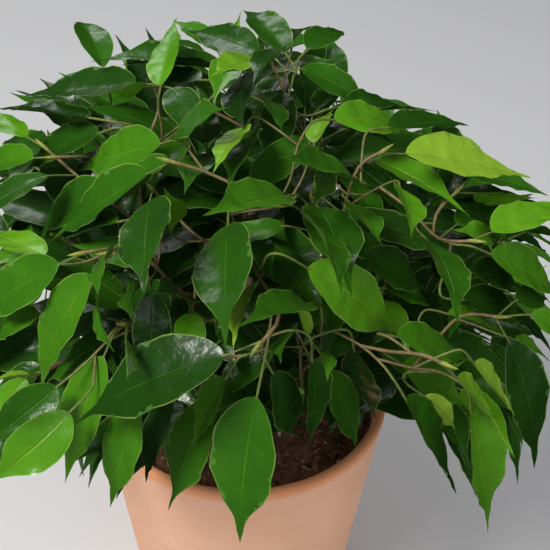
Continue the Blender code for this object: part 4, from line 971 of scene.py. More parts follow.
def sharpest_bend(points):
    """The largest angle between neighbouring steps of a path."""
    ways = [(after - place).normalized() for place, after in zip(points, points[1:])]
    return max(before.angle(after) for before, after in zip(ways, ways[1:]))


def is_hidden(place, blades):
    """Whether a blade comes between the view and a point."""
    way = place - VIEW_POINT
    direction, reach = way.normalized(), way.length
    return any(blade.ray_cast(VIEW_POINT, direction, reach)[0] is not None for blade in blades)


def shown_length(twig, blades):
    """How much of a twig shows in the picture, past the blades that hide it."""
    beads = twig.beads(SIGHT_SPACING)
    shown = sum(not is_hidden(place, blades) for place, _ in beads)
    return twig.length * shown / len(beads)


def stalk_to(leaf, places, space, load):
    """A clear way to a leaf from a branch nearby that shows little: the side twig's points, and where it starts."""
    joint = leaf.base - leaf.along * PETIOLE
    outward = crown_outward(joint)
    own = leaf.own_tree()

    def cost(place):
        offset = place[2] - joint
        ahead = max(0.0, offset.dot(leaf.along))
        outer = max(0.0, crown_level(place[2]) - crown_level(joint))
        return offset.length + AHEAD_COST * ahead + OUTER_COST * outer + LOAD_COST * load[place[0].stem]

    found = []
    least = math.inf
    for place in sorted(places, key=cost)[:MOST_PLACES]:
        twig, share, start = place
        direction = twig.at(share)[1]
        towards = joint - start
        span = towards.length
        if span < SHORTEST_STALK:
            continue
        count = 3 if span < PLAIN_STALK else 4
        for lean, bend, dip in STALK_BENDS:
            way = (direction * lean + towards.normalized() - outward * dip).normalized()
            bent = joint - leaf.along * span * bend - outward * span * dip
            curve = bezier(start, start + way * span * BRANCH_HANDLE, bent, joint, count)
            if sharpest_bend(curve + [leaf.base]) > SHARPEST_BEND:
                continue
            stalk = Twig(curve + [leaf.base], STALK_RADIUS, STALK_RADIUS, twig.stem)
            if space.path_is_free(stalk, STALK_JOINT, own):
                shown = shown_length(stalk, space.blades + [own])
                least = min(least, shown)
                found.append((cost(place) + SHOWN_COST * shown, len(found), curve, place))
                break
        if len(found) == MOST_WAYS or (len(found) >= FEWEST_WAYS and least < LITTLE_SHOWN):
            break
    if not found:
        return None, None
    return min(found)[2:]


def place_seen_leaves(space, branches, load, rng):
    """The leaves that show, each moved in or out along its rays until it and its stalk are clear."""
    places = []
    for twig in branches:
        count = max(4, int(twig.length / PLACE_SPACING))
        shares = [0.25 + 0.75 * i / count for i in range(count + 1)]
        places += [(twig, share, twig.at(share)[0]) for share in shares]
    leaves, side_twigs = [], []
    for entry in SEEN_LEAVES:
        character = random_character(rng)
        for step in range(LAYER_TRIES):
            shift = -LAYER_IN * (step + 1) if step % 2 else LAYER_OUT * step
            leaf = seen_leaf(entry, entry["layer"] + shift, character)
            if not space.leaf_is_free(leaf):
                continue
            curve, place = stalk_to(leaf, places, space, load)
            if curve:
                break
        else:
            continue
        twig = place[0]
        twig.bear(place[1])
        places.remove(place)
        leaf.stem = twig.stem
        # The tone from the readings: the leaf's age together with painted light and shade.
        leaf.tone = entry["tone"]
        side_twig = Twig(curve, TWIG_RADIUS, TWIG_RADIUS, twig.stem)
        if side_twig.length > LONG_STALK:
            side_twigs.append(side_twig)
            side_twig.bear(1.0)
            leaf.stalk = [side_twig.at(0.97)[0], leaf.base]
        else:
            leaf.stalk = curve + [leaf.base]
            leaf.stalk_radius = STALK_RADIUS
        space.add_leaf(leaf)
        space.add_twig(Twig(curve + [leaf.base], TWIG_RADIUS, PETIOLE_RADIUS, twig.stem))
        places += [(side_twig, share, side_twig.at(share)[0]) for share in (0.4, 0.7)]
        load[leaf.stem] += 1
        leaves.append(leaf)
    return leaves, side_twigs


seen, side_twigs = place_seen_leaves(space, branches, load, growth)


# The rest of the leaves fill the crown on every side. They stand alternately along the branches and side twigs, the
# young ones at the tips.

MOST_LEAVES = 246
LEAF_SPACING = 0.0135
LOWEST_LEAF = 0.12
AT_TWIG_END = 0.995
YOUNG_FROM = 0.9
YOUNG_LENGTHS = (0.030, 0.046)
GROWN_LENGTHS = (0.046, 0.064)
HANGS = (-0.85, -0.15)
FILLING_REACH = 1.16
YOUNG_TONES = (0.48, 0.78)
GROWN_TONES = (0.20, 0.50)
OPEN_STEP = 8
# The crown's outline in the picture, and the holes in it as circles, in pixels
CROWN_OUTLINE = (
    (-90, 110), (0, 78), (30, 78), (60, 66), (74, 22), (120, 18), (180, 16), (215, 14), (245, 8), (280, 14),
    (345, 22), (362, 74), (410, 96), (470, 124), (536, 165), (600, 190), (620, 340), (540, 372), (536, 470),
    (490, 530), (452, 470), (398, 400), (352, 446), (292, 440), (228, 430), (150, 470), (110, 505), (68, 480),
    (-20, 486), (-90, 400),
)
CROWN_WINDOWS = (
    (36, 118, 13), (66, 160, 12), (76, 276, 15), (46, 300, 9), (22, 312, 9), (16, 352, 15), (128, 268, 7),
    (480, 345, 13), (400, 440, 30),
)


def in_polygon(pixel, corners):
    """Whether a pixel is inside a closed outline."""
    inside = False
    for (x0, y0), (x1, y1) in zip(corners, corners[1:] + corners[:1]):
        if (y0 > pixel[1]) != (y1 > pixel[1]):
            if pixel[0] < x0 + (pixel[1] - y0) * (x1 - x0) / (y1 - y0):
                inside = not inside
    return inside


def in_window(pixel):
    """Whether a pixel is in one of the crown's holes."""
    return any(math.dist(pixel, (x, y)) < radius for x, y, radius in CROWN_WINDOWS)


def hides_seen_leaf(leaf, seen_tree):
    """Whether a leaf comes between the view and a leaf that shows, or shows outside the crown's outline."""
    for s in (0.15, 0.4, 0.65, 1.0):
        for t in (-0.8, 0.0, 0.8):
            point = leaf.point(s, t)
            away = (point - VIEW_POINT).normalized()
            if seen_tree.ray_cast(point, away, 0.2)[0] is not None:
                return True
            pixel = pixel_of(point)
            if not in_polygon(pixel, CROWN_OUTLINE):
                return True
            hidden = seen_tree.ray_cast(point, -away, 0.4)[0] is not None
            if in_window(pixel) and not hidden:
                return True
    return False


def fill_leaf(twig, share, side, rng, attempt):
    """One leaf on a twig, on the given side of it, or at its end."""
    place, direction, radius = twig.at(share)
    outward = crown_outward(place)
    upwards = Vector((0.0, 0.0, 1.0))
    level = (upwards - direction * upwards.dot(direction)).normalized()
    sideways = direction.cross(level)
    loose = 0.25 + 0.05 * attempt
    wobble = Vector(rng.uniform(-loose, loose) for _ in range(3))
    way = direction * 0.55 + sideways * side * 0.85 + outward * 0.35 + wobble
    if side == 0:
        way = direction + outward * 0.2 + wobble * 0.7
    way.normalize()
    young = share > YOUNG_FROM
    length = rng.uniform(*(YOUNG_LENGTHS if young else GROWN_LENGTHS))
    length *= 1.0 - 0.3 * min(1.0, attempt / 10.0)
    base = place + (way + level * 0.25).normalized() * (PETIOLE * rng.uniform(0.8, 1.3) + radius)
    hang = (way + Vector((0.0, 0.0, rng.uniform(*HANGS)))).normalized()
    facing = outward * 0.7 + upwards * 0.8 + wobble * 0.5
    leaf = Leaf(base, base + hang * length, facing, random_character(rng), twig.stem)
    leaf.stalk = [place, base]
    leaf.young = young
    return leaf


def open_pixels(space, step):
    """A grid of pixels inside the crown's outline where the background still shows between the leaves."""
    found = []
    for x in range(0, 550, step):
        for y in range(0, 550, step):
            pixel = (x, y)
            if not in_polygon(pixel, CROWN_OUTLINE) or in_window(pixel):
                continue
            direction = ray_through(pixel)
            if not any(blade.ray_cast(VIEW_POINT, direction)[0] is not None for blade in space.blades):
                found.append(pixel)
    return found


def shown_outline(leaf):
    """A leaf's outline in the picture, up one margin and down the other."""
    corners = [pixel_of(leaf.point(s, -1.0)) for s in (0.0, 0.2, 0.4, 0.6, 0.8, 1.0)]
    return corners + [pixel_of(leaf.point(s, 1.0)) for s in (0.8, 0.6, 0.4, 0.2)]


def pixels_behind(leaf, pixels):
    """The open pixels that a leaf would cover."""
    corners = shown_outline(leaf)
    return [pixel for pixel in pixels if in_polygon(pixel, corners)]


def leaf_sites(twigs):
    """Places for leaves along every twig, alternately on its two sides, tips first."""
    sites = []
    for number, twig in enumerate(twigs):
        sites.append((0, number, twig, AT_TWIG_END, 0))
        for place in range(1, int(twig.length / LEAF_SPACING)):
            share = 1.0 - place * LEAF_SPACING / twig.length
            if share > LOWEST_LEAF:
                sites.append((place, number, twig, share, 1 if place % 2 else -1))
    sites.sort(key=lambda site: (site[0], site[1]))
    return sites


def fill_crown(space, twigs, seen, rng):
    """Leaves that close the crown where the view still shows background through it, then on all its other sides."""
    seen_tree = tree_of(seen)
    sites = leaf_sites(twigs)
    pixels = open_pixels(space, OPEN_STEP)
    leaves = []
    for least_cover in (8, 4, 2, 0):
        for site in list(sites):
            if len(seen) + len(leaves) >= MOST_LEAVES:
                break
            _, _, twig, share, side = site
            for attempt in range(12 if least_cover < 4 else 24):
                leaf = fill_leaf(twig, share, side, rng, attempt)
                covered = pixels_behind(leaf, pixels)
                if len(covered) < least_cover:
                    continue
                if crown_level(leaf.tip) > FILLING_REACH or hides_seen_leaf(leaf, seen_tree):
                    continue
                if space.take(leaf):
                    leaves.append(leaf)
                    twig.bear(share)
                    pixels = [pixel for pixel in pixels if pixel not in covered]
                    sites.remove(site)
                    break
    return leaves


twigs = branches + side_twigs
filling = fill_crown(space, twigs, seen, growth)
twigs = [twig for twig in twigs if twig.used]
for twig in twigs:
    twig.trim()
tones = random.Random(SEED)
for leaf in filling:
    leaf.tone = tones.uniform(*(YOUNG_TONES if leaf.young else GROWN_TONES))


# Small inner leaves stand close along the older wood and in the forks, in the shade of the others. They are dark,
# with painted shade that deepens their colour the farther in they stand, and they close the crown to the eye.

INNER_LEAVES = 190
INNER_SPACING = 0.0075
INNER_STEP = 6
INNER_START = 0.985
LOWEST_ON_STEM = 0.45
INNER_REACH = 1.10
INNER_TONES = (0.28, 0.54)
# How far the tone drops towards the crown's middle, as painted shade
PAINTED_SHADE_INSIDE = 0.3


def inner_sites():
    """Places for small leaves along the wood, alternately on its two sides."""
    sites = []
    for number, twig in enumerate(twigs + stems):
        first = LOWEST_LEAF if number < len(twigs) else LOWEST_ON_STEM
        for place in range(int(twig.length * (1.0 - first) / INNER_SPACING)):
            share = INNER_START - place * INNER_SPACING / twig.length
            sites.append((twig, share, 1 if place % 2 else -1))
    return sites


def bare_wood(space):
    """Pixels where a twig or a stalk shows between the leaves, with how far off it is."""
    bare = {}
    for twig in twigs + [leaf.petiole() for leaf in seen + filling]:
        for place, _ in twig.beads(SIGHT_SPACING):
            if not is_hidden(place, space.blades):
                bare[pixel_of(place)] = (place - VIEW_POINT).length
    return bare


def gaps_behind(leaf, gaps):
    """The gaps that a leaf would close: each is a pixel and how far off what shows there is."""
    corners = shown_outline(leaf)
    low = [min(corner[axis] for corner in corners) for axis in (0, 1)]
    high = [max(corner[axis] for corner in corners) for axis in (0, 1)]
    reach = (leaf.point(MIDDLE_STATION, 0.0) - VIEW_POINT).length
    near = [gap for gap in gaps if low[0] < gap[0] < high[0] and low[1] < gap[1] < high[1]]
    return [gap for gap in near if gaps[gap] > reach and in_polygon(gap, corners)]


def inner_leaves(space, draws):
    """Small leaves: first where background or bare wood shows most, then wherever one fits."""
    seen_tree = tree_of(seen)
    sites = inner_sites()
    draws.shuffle(sites)
    gaps = bare_wood(space)
    gaps.update((pixel, math.inf) for pixel in open_pixels(space, INNER_STEP))
    small = []
    for least_closed in (6, 3, 2, 1, 0):
        for site in list(sites):
            if len(small) >= INNER_LEAVES:
                break
            for attempt in range(6, 16):
                leaf = fill_leaf(*site, draws, attempt)
                closed = gaps_behind(leaf, gaps)
                if len(closed) < least_closed or crown_level(leaf.tip) > INNER_REACH:
                    continue
                if hides_seen_leaf(leaf, seen_tree):
                    continue
                if space.take(leaf):
                    # Painted shade: the tone drops the deeper in the crown the leaf stands.
                    depth = 1.0 - min(1.0, crown_level(leaf.base))
                    leaf.tone = draws.uniform(*INNER_TONES) - PAINTED_SHADE_INSIDE * depth
                    small.append(leaf)
                    for gap in closed:
                        del gaps[gap]
                    sites.remove(site)
                    break
    return small


inner = inner_leaves(space, random.Random(SEED + 1))


# At the ends of the twigs young leaves unfold. They are narrow, folded along the midrib and still a bright
# yellow-green, and each has its own short stalk past the twig's bud.

UNFOLDING = (0.014, 0.024)
UNFOLDING_GAP = 0.0035
UNFOLDING_STALK = 0.0005
UNFOLDING_REACH = 1.15
UNFOLDING_TONES = (0.72, 0.95)
TIP_OVERLAP = 0.002


def unfolding_leaves(draws):
    """A folded young leaf past each twig's end, where there is room and no large leaf is hidden."""
    room = Space()
    seen_tree = tree_of(seen)
    for leaf in seen + filling + inner:
        room.add_leaf(leaf)
        room.add_twig(leaf.petiole())
    for twig in stems + twigs:
        room.add_twig(twig)
    folded = []
    for twig in twigs:
        _, way, _ = twig.at(1.0)
        end = twig.points[-1]
        for attempt in range(12):
            aside = Vector(draws.uniform(-0.6, 0.6) for _ in range(3))
            aim = (way + aside + Vector((0.0, 0.0, 0.3))).normalized()
            base = end + (way + aim).normalized() * UNFOLDING_GAP
            character = dict(
                curl=draws.uniform(-0.1, 0.5),
                slenderness=draws.uniform(0.26, 0.36),
                fold=math.radians(draws.uniform(30.0, 55.0)),
                twist=math.radians(draws.uniform(-15.0, 15.0)),
                wave=0.02,
                phase=draws.random(),
            )
            facing = crown_outward(base) + Vector((0.0, 0.0, 1.0)) + aside
            leaf = Leaf(base, base + aim * draws.uniform(*UNFOLDING), facing, character, twig.stem)
            if crown_level(leaf.tip) > UNFOLDING_REACH or hides_seen_leaf(leaf, seen_tree):
                continue
            if room.leaf_is_free(leaf):
                leaf.stalk = [end - way * TIP_OVERLAP, end, base]
                leaf.stalk_radius = UNFOLDING_STALK
                leaf.tone = draws.uniform(*UNFOLDING_TONES)
                folded.append(leaf)
                room.add_leaf(leaf)
                break
    return folded


unfolding = unfolding_leaves(random.Random(SEED + 2))


# The wood and the leaf stalks. Stems and branches have a smooth grey-brown bark with fine pale pores, side twigs
# are green-brown, and the slim stalks are yellow-green. A pointed sheath wraps the bud at the end of each twig.

BARK_AGES = {"stem": 1.0, "branch": 0.75, "side_twig": 0.55, "stalk": 0.2, "bud": 0.0}
SLIMMER = {"branch": 0.68, "side_twig": 0.60, "stalk": 0.78, "bud": 0.70}
BUD_LENGTH = 0.0065
MIDRIB_DROP = 0.0004
STALK_IN_BLADE = 0.004


def wood_tree():
    """Round wood along open chains of points: each point keeps its thickness, with a smooth way between."""
    sizes = {"Sides": "NodeSocketInt", "Steps": "NodeSocketInt", "Finish": "NodeSocketMaterial"}
    tree, given = new_tree("Wood", sizes)
    chain = wire(tree, "GeometryNodeMeshToCurve", {"Mesh": given[0]}).outputs[0]
    smooth = wire(tree, "GeometryNodeCurveSplineType", {"Curve": chain}, spline_type="CATMULL_ROM").outputs[0]
    feeds = {"Geometry": smooth, "Resolution": given["Steps"]}
    smooth = wire(tree, "GeometryNodeSetSplineResolution", feeds).outputs[0]
    feeds = {"Resolution": given["Sides"], "Radius": 1.0}
    section = wire(tree, "GeometryNodeCurvePrimitiveCircle", feeds).outputs[0]
    thickness = wire(tree, "GeometryNodeInputNamedAttribute", {"Name": "thickness"}, data_type="FLOAT").outputs[0]
    feeds = {"Curve": smooth, "Profile Curve": section, "Scale": thickness, "Fill Caps": True}
    round_wood = wire(tree, "GeometryNodeCurveToMesh", feeds).outputs[0]
    round_wood = wire(tree, "GeometryNodeSetShadeSmooth", {"Geometry": round_wood}).outputs[0]
    return end_tree(tree, wire(tree, "GeometryNodeRealizeInstances", {"Geometry": round_wood}).outputs[0], given)


def chains(name, runs):
    """A mesh of open chains: each is a list of points, with the wood's radius and age at each."""
    mesh = bpy.data.meshes.new(name)
    points, edges, radii, ages = [], [], [], []
    for places, thicknesses, age in runs:
        first = len(points)
        points += [tuple(place) for place in places]
        edges += [(first + i, first + i + 1) for i in range(len(places) - 1)]
        radii += thicknesses
        ages += age if isinstance(age, list) else [age] * len(places)
    mesh.from_pydata(points, edges, [])
    mesh.attributes.new("thickness", "FLOAT", "POINT").data.foreach_set("value", radii)
    mesh.attributes.new("age", "FLOAT", "POINT").data.foreach_set("value", ages)
    return mesh


def bud_run(twig):
    """The pointed sheath at a twig's end."""
    _, way, radius = twig.at(1.0)
    root = twig.points[-1] - way * TIP_OVERLAP
    places = [root + way * BUD_LENGTH * share for share in (0.0, 0.3, 0.6, 0.85, 1.0)]
    radii = [radius * SLIMMER["bud"] * share for share in (0.9, 1.15, 0.9, 0.45, 0.08)]
    return places, radii, BARK_AGES["bud"]


def fig_bark():
    """Bark: grey-brown with pale pores on old wood, greener on young wood, and yellow-green on stalks and buds."""
    material, tree, shader = new_finish("Bark", 0.62)
    age = kept(tree, "age")
    steps = (
        (0.00, (0.24, 0.27, 0.045)),
        (0.20, (0.12, 0.165, 0.028)),
        (0.50, (0.17, 0.125, 0.050)),
        (0.75, (0.26, 0.165, 0.080)),
        (1.00, (0.32, 0.22, 0.12)),
    )
    plain = shade_steps(tree, age, steps)
    pores = grain(tree, 420.0, 5.0, 0.6)
    mottle = shade_steps(tree, pores, ((0.3, (0.6, 0.58, 0.55)), (0.7, (1.25, 1.22, 1.18))))
    tree.links.new(times(tree, plain, mottle), shader.inputs["Base Color"])
    emboss(tree, shader, grain(tree, 900.0, 4.0, 0.6), 0.0003)
    return material


leaves = seen + filling + inner + unfolding
growing = wood_tree()
bark = fig_bark()
for stem in stems:
    own_twigs = [twig for twig in twigs if twig.stem == stem.stem]
    runs = [(stem.points, stem.radii, BARK_AGES["stem"])]
    for twig in own_twigs:
        kind = "branch" if twig in branches else "side_twig"
        runs.append((twig.points, [radius * SLIMMER[kind] for radius in twig.radii], BARK_AGES[kind]))
        runs.append(bud_run(twig))
    for leaf in leaves:
        if leaf.stem == stem.stem:
            places = leaf.stalk + [leaf.point(STALK_IN_BLADE / leaf.length, 0.0) - leaf.up * MIDRIB_DROP]
            radii = [leaf.stalk_radius * SLIMMER["stalk"]] * (len(places) - 1) + [leaf.stalk_radius * 0.3]
            young = BARK_AGES["stalk"]
            ages = [young if (place - leaf.base).length < 1.5 * PETIOLE else 0.45 for place in places]
            runs.append((places, radii, ages))
    name = f"wood_{stem.stem + 1}"
    wood = made_by(growing, name, chains(name, runs), {"Sides": 8, "Steps": 4, "Finish": bark})
    shown(name, wood, bark, "foliage", f"leafy_stem_{stem.stem + 1}")


# The blades. One pattern, flat and closed, has the outline of a fig leaf. Each leaf is that pattern laid out at its
# own length and breadth, then curled, folded and waved as that leaf grew.

BLADE_STEPS = 20
BLADE_LANES = 8
REAL_THICKNESS = 0.0006
CRIMP = 0.030


def blade_pattern():
    """The pattern: a closed flat blade whose points keep their places along and across it."""
    cage = bmesh.new()
    keeps = {name: cage.verts.layers.float.new(name) for name in ("along_blade", "across_blade", "breadth", "swell")}
    under = cage.faces.layers.float.new("underside")
    paper = cage.loops.layers.uv.new("UVMap")

    def corner(s, t, side):
        made = cage.verts.new((s, t * outline(s), side * 0.5))
        values = (s, t, outline(s), side * (1.0 - t * t) * min(1.0, 3.0 * outline(s)))
        for layer, value in zip(keeps.values(), values):
            made[layer] = value
        return made

    stations = []
    for step in range(1, BLADE_STEPS):
        even = step / BLADE_STEPS
        stations.append(0.45 * even + 0.55 * (0.5 - 0.5 * math.cos(math.pi * even)))
    places = [2.0 * lane / BLADE_LANES - 1.0 for lane in range(BLADE_LANES + 1)]
    base, tip = corner(0.0, 0.0, 0.0), corner(1.0, 0.0, 0.0)
    margins = {(s, t): corner(s, t, 0.0) for s in stations for t in (-1.0, 1.0)}
    for side in (1.0, -1.0):
        rows = []
        for s in stations:
            inner = [corner(s, t, side) for t in places[1:-1]]
            rows.append([margins[s, -1.0]] + inner + [margins[s, 1.0]])
        for lane in range(BLADE_LANES):
            quads = [(base, rows[0][lane], rows[0][lane + 1])]
            quads += [(low[lane], high[lane], high[lane + 1], low[lane + 1]) for low, high in zip(rows, rows[1:])]
            quads.append((rows[-1][lane], tip, rows[-1][lane + 1]))
            for quad in quads:
                face = cage.faces.new(quad if side > 0.0 else tuple(reversed(quad)))
                face[under] = 0.0 if side > 0.0 else 1.0
                face.smooth = True
                for loop in face.loops:
                    s, t = loop.vert[keeps["along_blade"]], loop.vert[keeps["across_blade"]]
                    loop[paper].uv = (s, 0.5 + 0.5 * t)
                    if loop.vert in (base, tip):
                        loop[paper].uv.y = 0.5 + 0.25 * (places[lane] + places[lane + 1])
    for edge in cage.edges:
        edge.smooth = edge.link_faces[0][under] == edge.link_faces[1][under]
    return mesh_of(cage, "blade_pattern")


def blade_tree():
    """Lays the pattern out on each point, by the sizes that the point keeps."""
    sizes = {
        "Pattern": "NodeSocketObject",
        "Thickness": "NodeSocketFloat",
        "Crimp": "NodeSocketFloat",
        "Finish": "NodeSocketMaterial",
    }
    tree, given = new_tree("Blades", sizes)

    def number(name):
        return wire(tree, "GeometryNodeInputNamedAttribute", {"Name": name}, data_type="FLOAT").outputs[0]

    def direction(name):
        return wire(tree, "GeometryNodeInputNamedAttribute", {"Name": name}, data_type="FLOAT_VECTOR").outputs[0]

    def scaled(way, amount):
        return wire(tree, "ShaderNodeVectorMath", {0: way, "Scale": amount}, operation="SCALE").outputs[0]

    def total(*ways):
        result = ways[0]
        for way in ways[1:]:
            result = wire(tree, "ShaderNodeVectorMath", {0: result, 1: way}, operation="ADD").outputs[0]
        return result

    def product(*numbers):
        result = numbers[0]
        for value in numbers[1:]:
            result = maths(tree, "MULTIPLY", result, value)
        return result

    pattern = wire(tree, "GeometryNodeObjectInfo", {"Object": given["Pattern"]}).outputs["Geometry"]
    laid = wire(tree, "GeometryNodeInstanceOnPoints", {"Points": given[0], "Instance": pattern}).outputs[0]
    laid = wire(tree, "GeometryNodeRealizeInstances", {"Geometry": laid}).outputs[0]

    s, t, breadth = number("along_blade"), number("across_blade"), number("breadth")
    length, width, curl, fold = number("length"), number("width"), number("curl"), number("fold")
    half = product(width, breadth, 0.5)
    t_squared = product(t, t)
    s_squared = product(s, s)
    ahead = maths(tree, "SUBTRACT", s, maths(tree, "DIVIDE", product(curl, curl, s_squared, s), 6.0))
    ahead = product(ahead, length)
    drop = product(length, curl, s_squared, 0.5)
    across = product(t, half, maths(tree, "COSINE", fold))
    phase = maths(tree, "ADD", number("phase"), product(s, 1.4))
    ripple = maths(tree, "SINE", maths(tree, "MULTIPLY_ADD", phase, 2.0 * math.pi, t))
    ripple = product(ripple, width, number("wave"))
    close = maths(tree, "ADD", product(number("phase"), 3.0), product(s, 4.6))
    crimp = maths(tree, "SINE", maths(tree, "MULTIPLY_ADD", close, 2.0 * math.pi, product(t, 1.5)))
    crimp = product(crimp, width, given["Crimp"])
    arch = maths(tree, "SINE", product(s, math.pi))
    raised = product(maths(tree, "POWER", maths(tree, "ABSOLUTE", t), 1.3), half, maths(tree, "SINE", fold))
    lift = maths(tree, "ADD", raised, product(maths(tree, "ADD", ripple, crimp), t_squared, arch))
    turned = product(number("twist"), s)
    cosine, sine = maths(tree, "COSINE", turned), maths(tree, "SINE", turned)
    sideways = maths(tree, "SUBTRACT", product(across, cosine), product(lift, sine))
    upwards = maths(tree, "ADD", product(across, sine), product(lift, cosine))
    upwards = maths(tree, "SUBTRACT", upwards, drop)
    swell = product(number("swell"), given["Thickness"], 0.5)
    bend = product(curl, s)
    upwards = maths(tree, "ADD", upwards, product(swell, maths(tree, "COSINE", bend)))
    ahead = maths(tree, "ADD", ahead, product(swell, maths(tree, "SINE", bend)))
    place = total(
        direction("root"),
        scaled(direction("along"), ahead),
        scaled(direction("side"), sideways),
        scaled(direction("up"), upwards),
    )
    laid = wire(tree, "GeometryNodeSetPosition", {"Geometry": laid, "Position": place}).outputs[0]
    return end_tree(tree, laid, given)


def leaf_points(name, own):
    """A point for each leaf, keeping that leaf's directions, sizes and tone."""
    mesh = bpy.data.meshes.new(name)
    mesh.from_pydata([(0.0, 0.0, 0.0)] * len(own), [], [])
    for way in ("root", "along", "side", "up"):
        values = [part for leaf in own for part in (leaf.base if way == "root" else getattr(leaf, way))]
        mesh.attributes.new(way, "FLOAT_VECTOR", "POINT").data.foreach_set("vector", values)
    for size in ("length", "width", "curl", "fold", "twist", "wave", "phase", "tone"):
        values = [getattr(leaf, size) for leaf in own]
        mesh.attributes.new(size, "FLOAT", "POINT").data.foreach_set("value", values)
    return mesh


def fig_leaf():
    """A glossy blade: green by its tone, which holds its age and painted light and shade, with pale margin, midrib
    and fine side veins, and dull and paler below.
    """
    material, tree, shader = new_finish("Fig_leaf", 0.34)
    shader.inputs["Specular IOR Level"].default_value = 0.5
    paper = wire(tree, "ShaderNodeSeparateXYZ", {0: wire(tree, "ShaderNodeTexCoord").outputs["UV"]})
    along, across = paper.outputs[0], paper.outputs[1]
    out = maths(tree, "ABSOLUTE", maths(tree, "MULTIPLY_ADD", across, 2.0, -1.0))

    def band(feed, none, full):
        feeds = {0: feed, 1: none, 2: full, 3: 0.0, 4: 1.0}
        return wire(tree, "ShaderNodeMapRange", feeds, interpolation_type="SMOOTHSTEP").outputs[0]

    patches = maths(tree, "MULTIPLY_ADD", grain(tree, 45.0, 3.0), 0.20, -0.10)
    tone = maths(tree, "ADD", kept(tree, "tone"), patches)
    steps = (
        (0.00, (0.004, 0.018, 0.002)),
        (0.30, (0.010, 0.048, 0.003)),
        (0.55, (0.030, 0.130, 0.004)),
        (0.80, (0.090, 0.280, 0.006)),
        (1.00, (0.280, 0.460, 0.030)),
    )
    green = shade_steps(tree, tone, steps)
    paler = shade_steps(tree, maths(tree, "ADD", tone, 0.26), steps)
    rib = band(out, 0.055, 0.012)
    edge = band(out, 0.94, 0.99)
    slant = maths(tree, "MULTIPLY_ADD", out, -1.6, maths(tree, "MULTIPLY", along, 12.0))
    comb = maths(tree, "ABSOLUTE", maths(tree, "SINE", maths(tree, "MULTIPLY", slant, math.pi)))
    vein = maths(tree, "MULTIPLY", band(comb, 0.30, 0.0), band(out, 0.95, 0.75))
    colour = blend(tree, maths(tree, "MULTIPLY", vein, 0.05), green, paler)
    colour = blend(tree, maths(tree, "MULTIPLY", rib, 0.45), colour, paler)
    colour = blend(tree, maths(tree, "MULTIPLY", edge, 0.48), colour, (0.33, 0.45, 0.09, 1.0))
    dull = shade_steps(tree, maths(tree, "MULTIPLY_ADD", tone, 0.65, 0.25), steps)
    dull = blend(tree, 0.18, dull, (0.16, 0.26, 0.06, 1.0))
    dull = blend(tree, maths(tree, "MULTIPLY", rib, 0.5), dull, (0.36, 0.44, 0.12, 1.0))
    under = kept(tree, "underside")
    tree.links.new(blend(tree, under, colour, dull), shader.inputs["Base Color"])
    rough = maths(tree, "MULTIPLY_ADD", under, 0.25, 0.21)
    tree.links.new(maths(tree, "MULTIPLY_ADD", grain(tree, 120.0, 3.0), 0.16, rough), shader.inputs["Roughness"])
    relief = maths(tree, "MULTIPLY_ADD", vein, -0.05, maths(tree, "MULTIPLY", rib, -0.8))
    relief = maths(tree, "MULTIPLY_ADD", grain(tree, 170.0, 3.0), 1.1, relief)
    relief = maths(tree, "MULTIPLY_ADD", grain(tree, 75.0, 1.0), 4.0, relief)
    emboss(tree, shader, relief, 0.0006, 0.8)
    return material


pattern = new_object("blade_pattern", blade_pattern())
laying = blade_tree()
glossy = fig_leaf()
for stem in stems:
    own = [leaf for leaf in leaves if leaf.stem == stem.stem]
    name = f"blades_{stem.stem + 1}"
    values = {"Pattern": pattern, "Thickness": REAL_THICKNESS, "Crimp": CRIMP, "Finish": glossy}
    blades = made_by(laying, name, leaf_points(name, own), values)
    shown(name, blades, glossy, "foliage", f"leafy_stem_{stem.stem + 1}")
bpy.data.objects.remove(pattern, do_unlink=True)


# The floor is plain and pale, under a soft light from above on the left, a weak one on the right and one behind
# that shows the leaves' gloss. Floor and surround stay out of that gloss, because the photo's own surround is dark.

FLOOR_HALF = 6.0
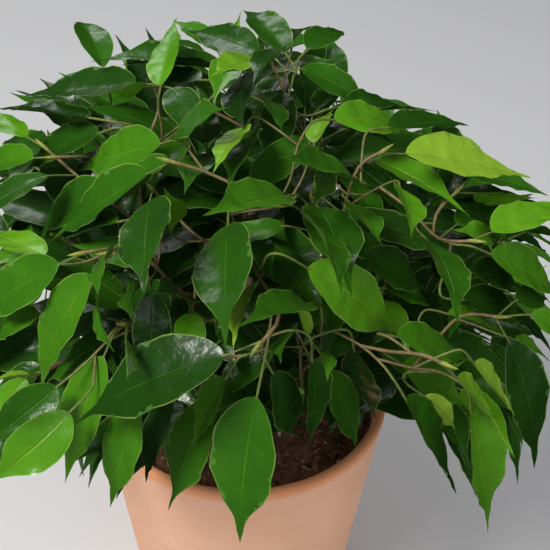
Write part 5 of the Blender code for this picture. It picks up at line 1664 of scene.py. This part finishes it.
# Each light's name, place, height that it looks at, size in metres, watts and colour
LIGHTS = (
    ("key", (-0.72, -0.72, 1.45), 0.15, 0.50, 28.0, (1.0, 0.985, 0.95)),
    ("fill", (1.2, -1.1, 0.9), 0.15, 1.2, 7.0, (0.95, 0.97, 1.0)),
    ("sheen", (-0.55, 1.25, 1.15), 0.20, 0.60, 3.5, (1.0, 1.0, 1.0)),
)
ROOM_COLOUR = (0.95, 0.97, 1.0, 1.0)
ROOM_LIGHT = 0.42

floor_mesh = bpy.data.meshes.new("floor")
corners = ((-1, -1), (1, -1), (1, 1), (-1, 1))
floor_mesh.from_pydata([(FLOOR_HALF * x, FLOOR_HALF * y, 0.0) for x, y in corners], [], [(0, 1, 2, 3)])
paint, _, paint_shader = new_finish("Pale_floor", 0.9)
paint_shader.inputs["Base Color"].default_value = (0.56, 0.56, 0.57, 1.0)
floor_mesh.materials.append(paint)
floor = new_object("floor", floor_mesh)
floor.visible_glossy = False


def soft_light(name, place, height, size, power, colour):
    """A square softbox that looks at the plant, at a height over the pot's foot."""
    light = bpy.data.lights.new(name, "AREA")
    light.shape = "SQUARE"
    light.size = size
    light.energy = power
    light.color = colour
    box = new_object(name, light)
    box.location = place
    box.rotation_euler = (Vector((0.0, 0.0, height)) - Vector(place)).to_track_quat("-Z", "Y").to_euler()


for light in LIGHTS:
    soft_light(*light)
room = bpy.data.worlds.new("room")
room.use_nodes = True
room.node_tree.nodes["Background"].inputs["Color"].default_value = ROOM_COLOUR
room.node_tree.nodes["Background"].inputs["Strength"].default_value = ROOM_LIGHT
room.cycles_visibility.glossy = False
bpy.context.scene.world = room
bpy.context.scene.view_settings.view_transform = "Standard"


# The camera stands where the leaves were read from, over the front of the plant and looking down into it. It keeps
# the whole picture sharp.

SENSOR = 36.0

eye = bpy.data.cameras.new("camera")
eye.sensor_width = SENSOR
eye.lens = VIEW_FOCAL / (2.0 * VIEW_MIDDLE) * SENSOR
eye.clip_start = 0.01
camera = new_object("camera", eye)
axes = Matrix((VIEW_RIGHT, -VIEW_DOWN, -VIEW_FORWARD)).transposed()
camera.matrix_world = Matrix.Translation(VIEW_POINT) @ axes.to_4x4()
bpy.context.scene.camera = camera
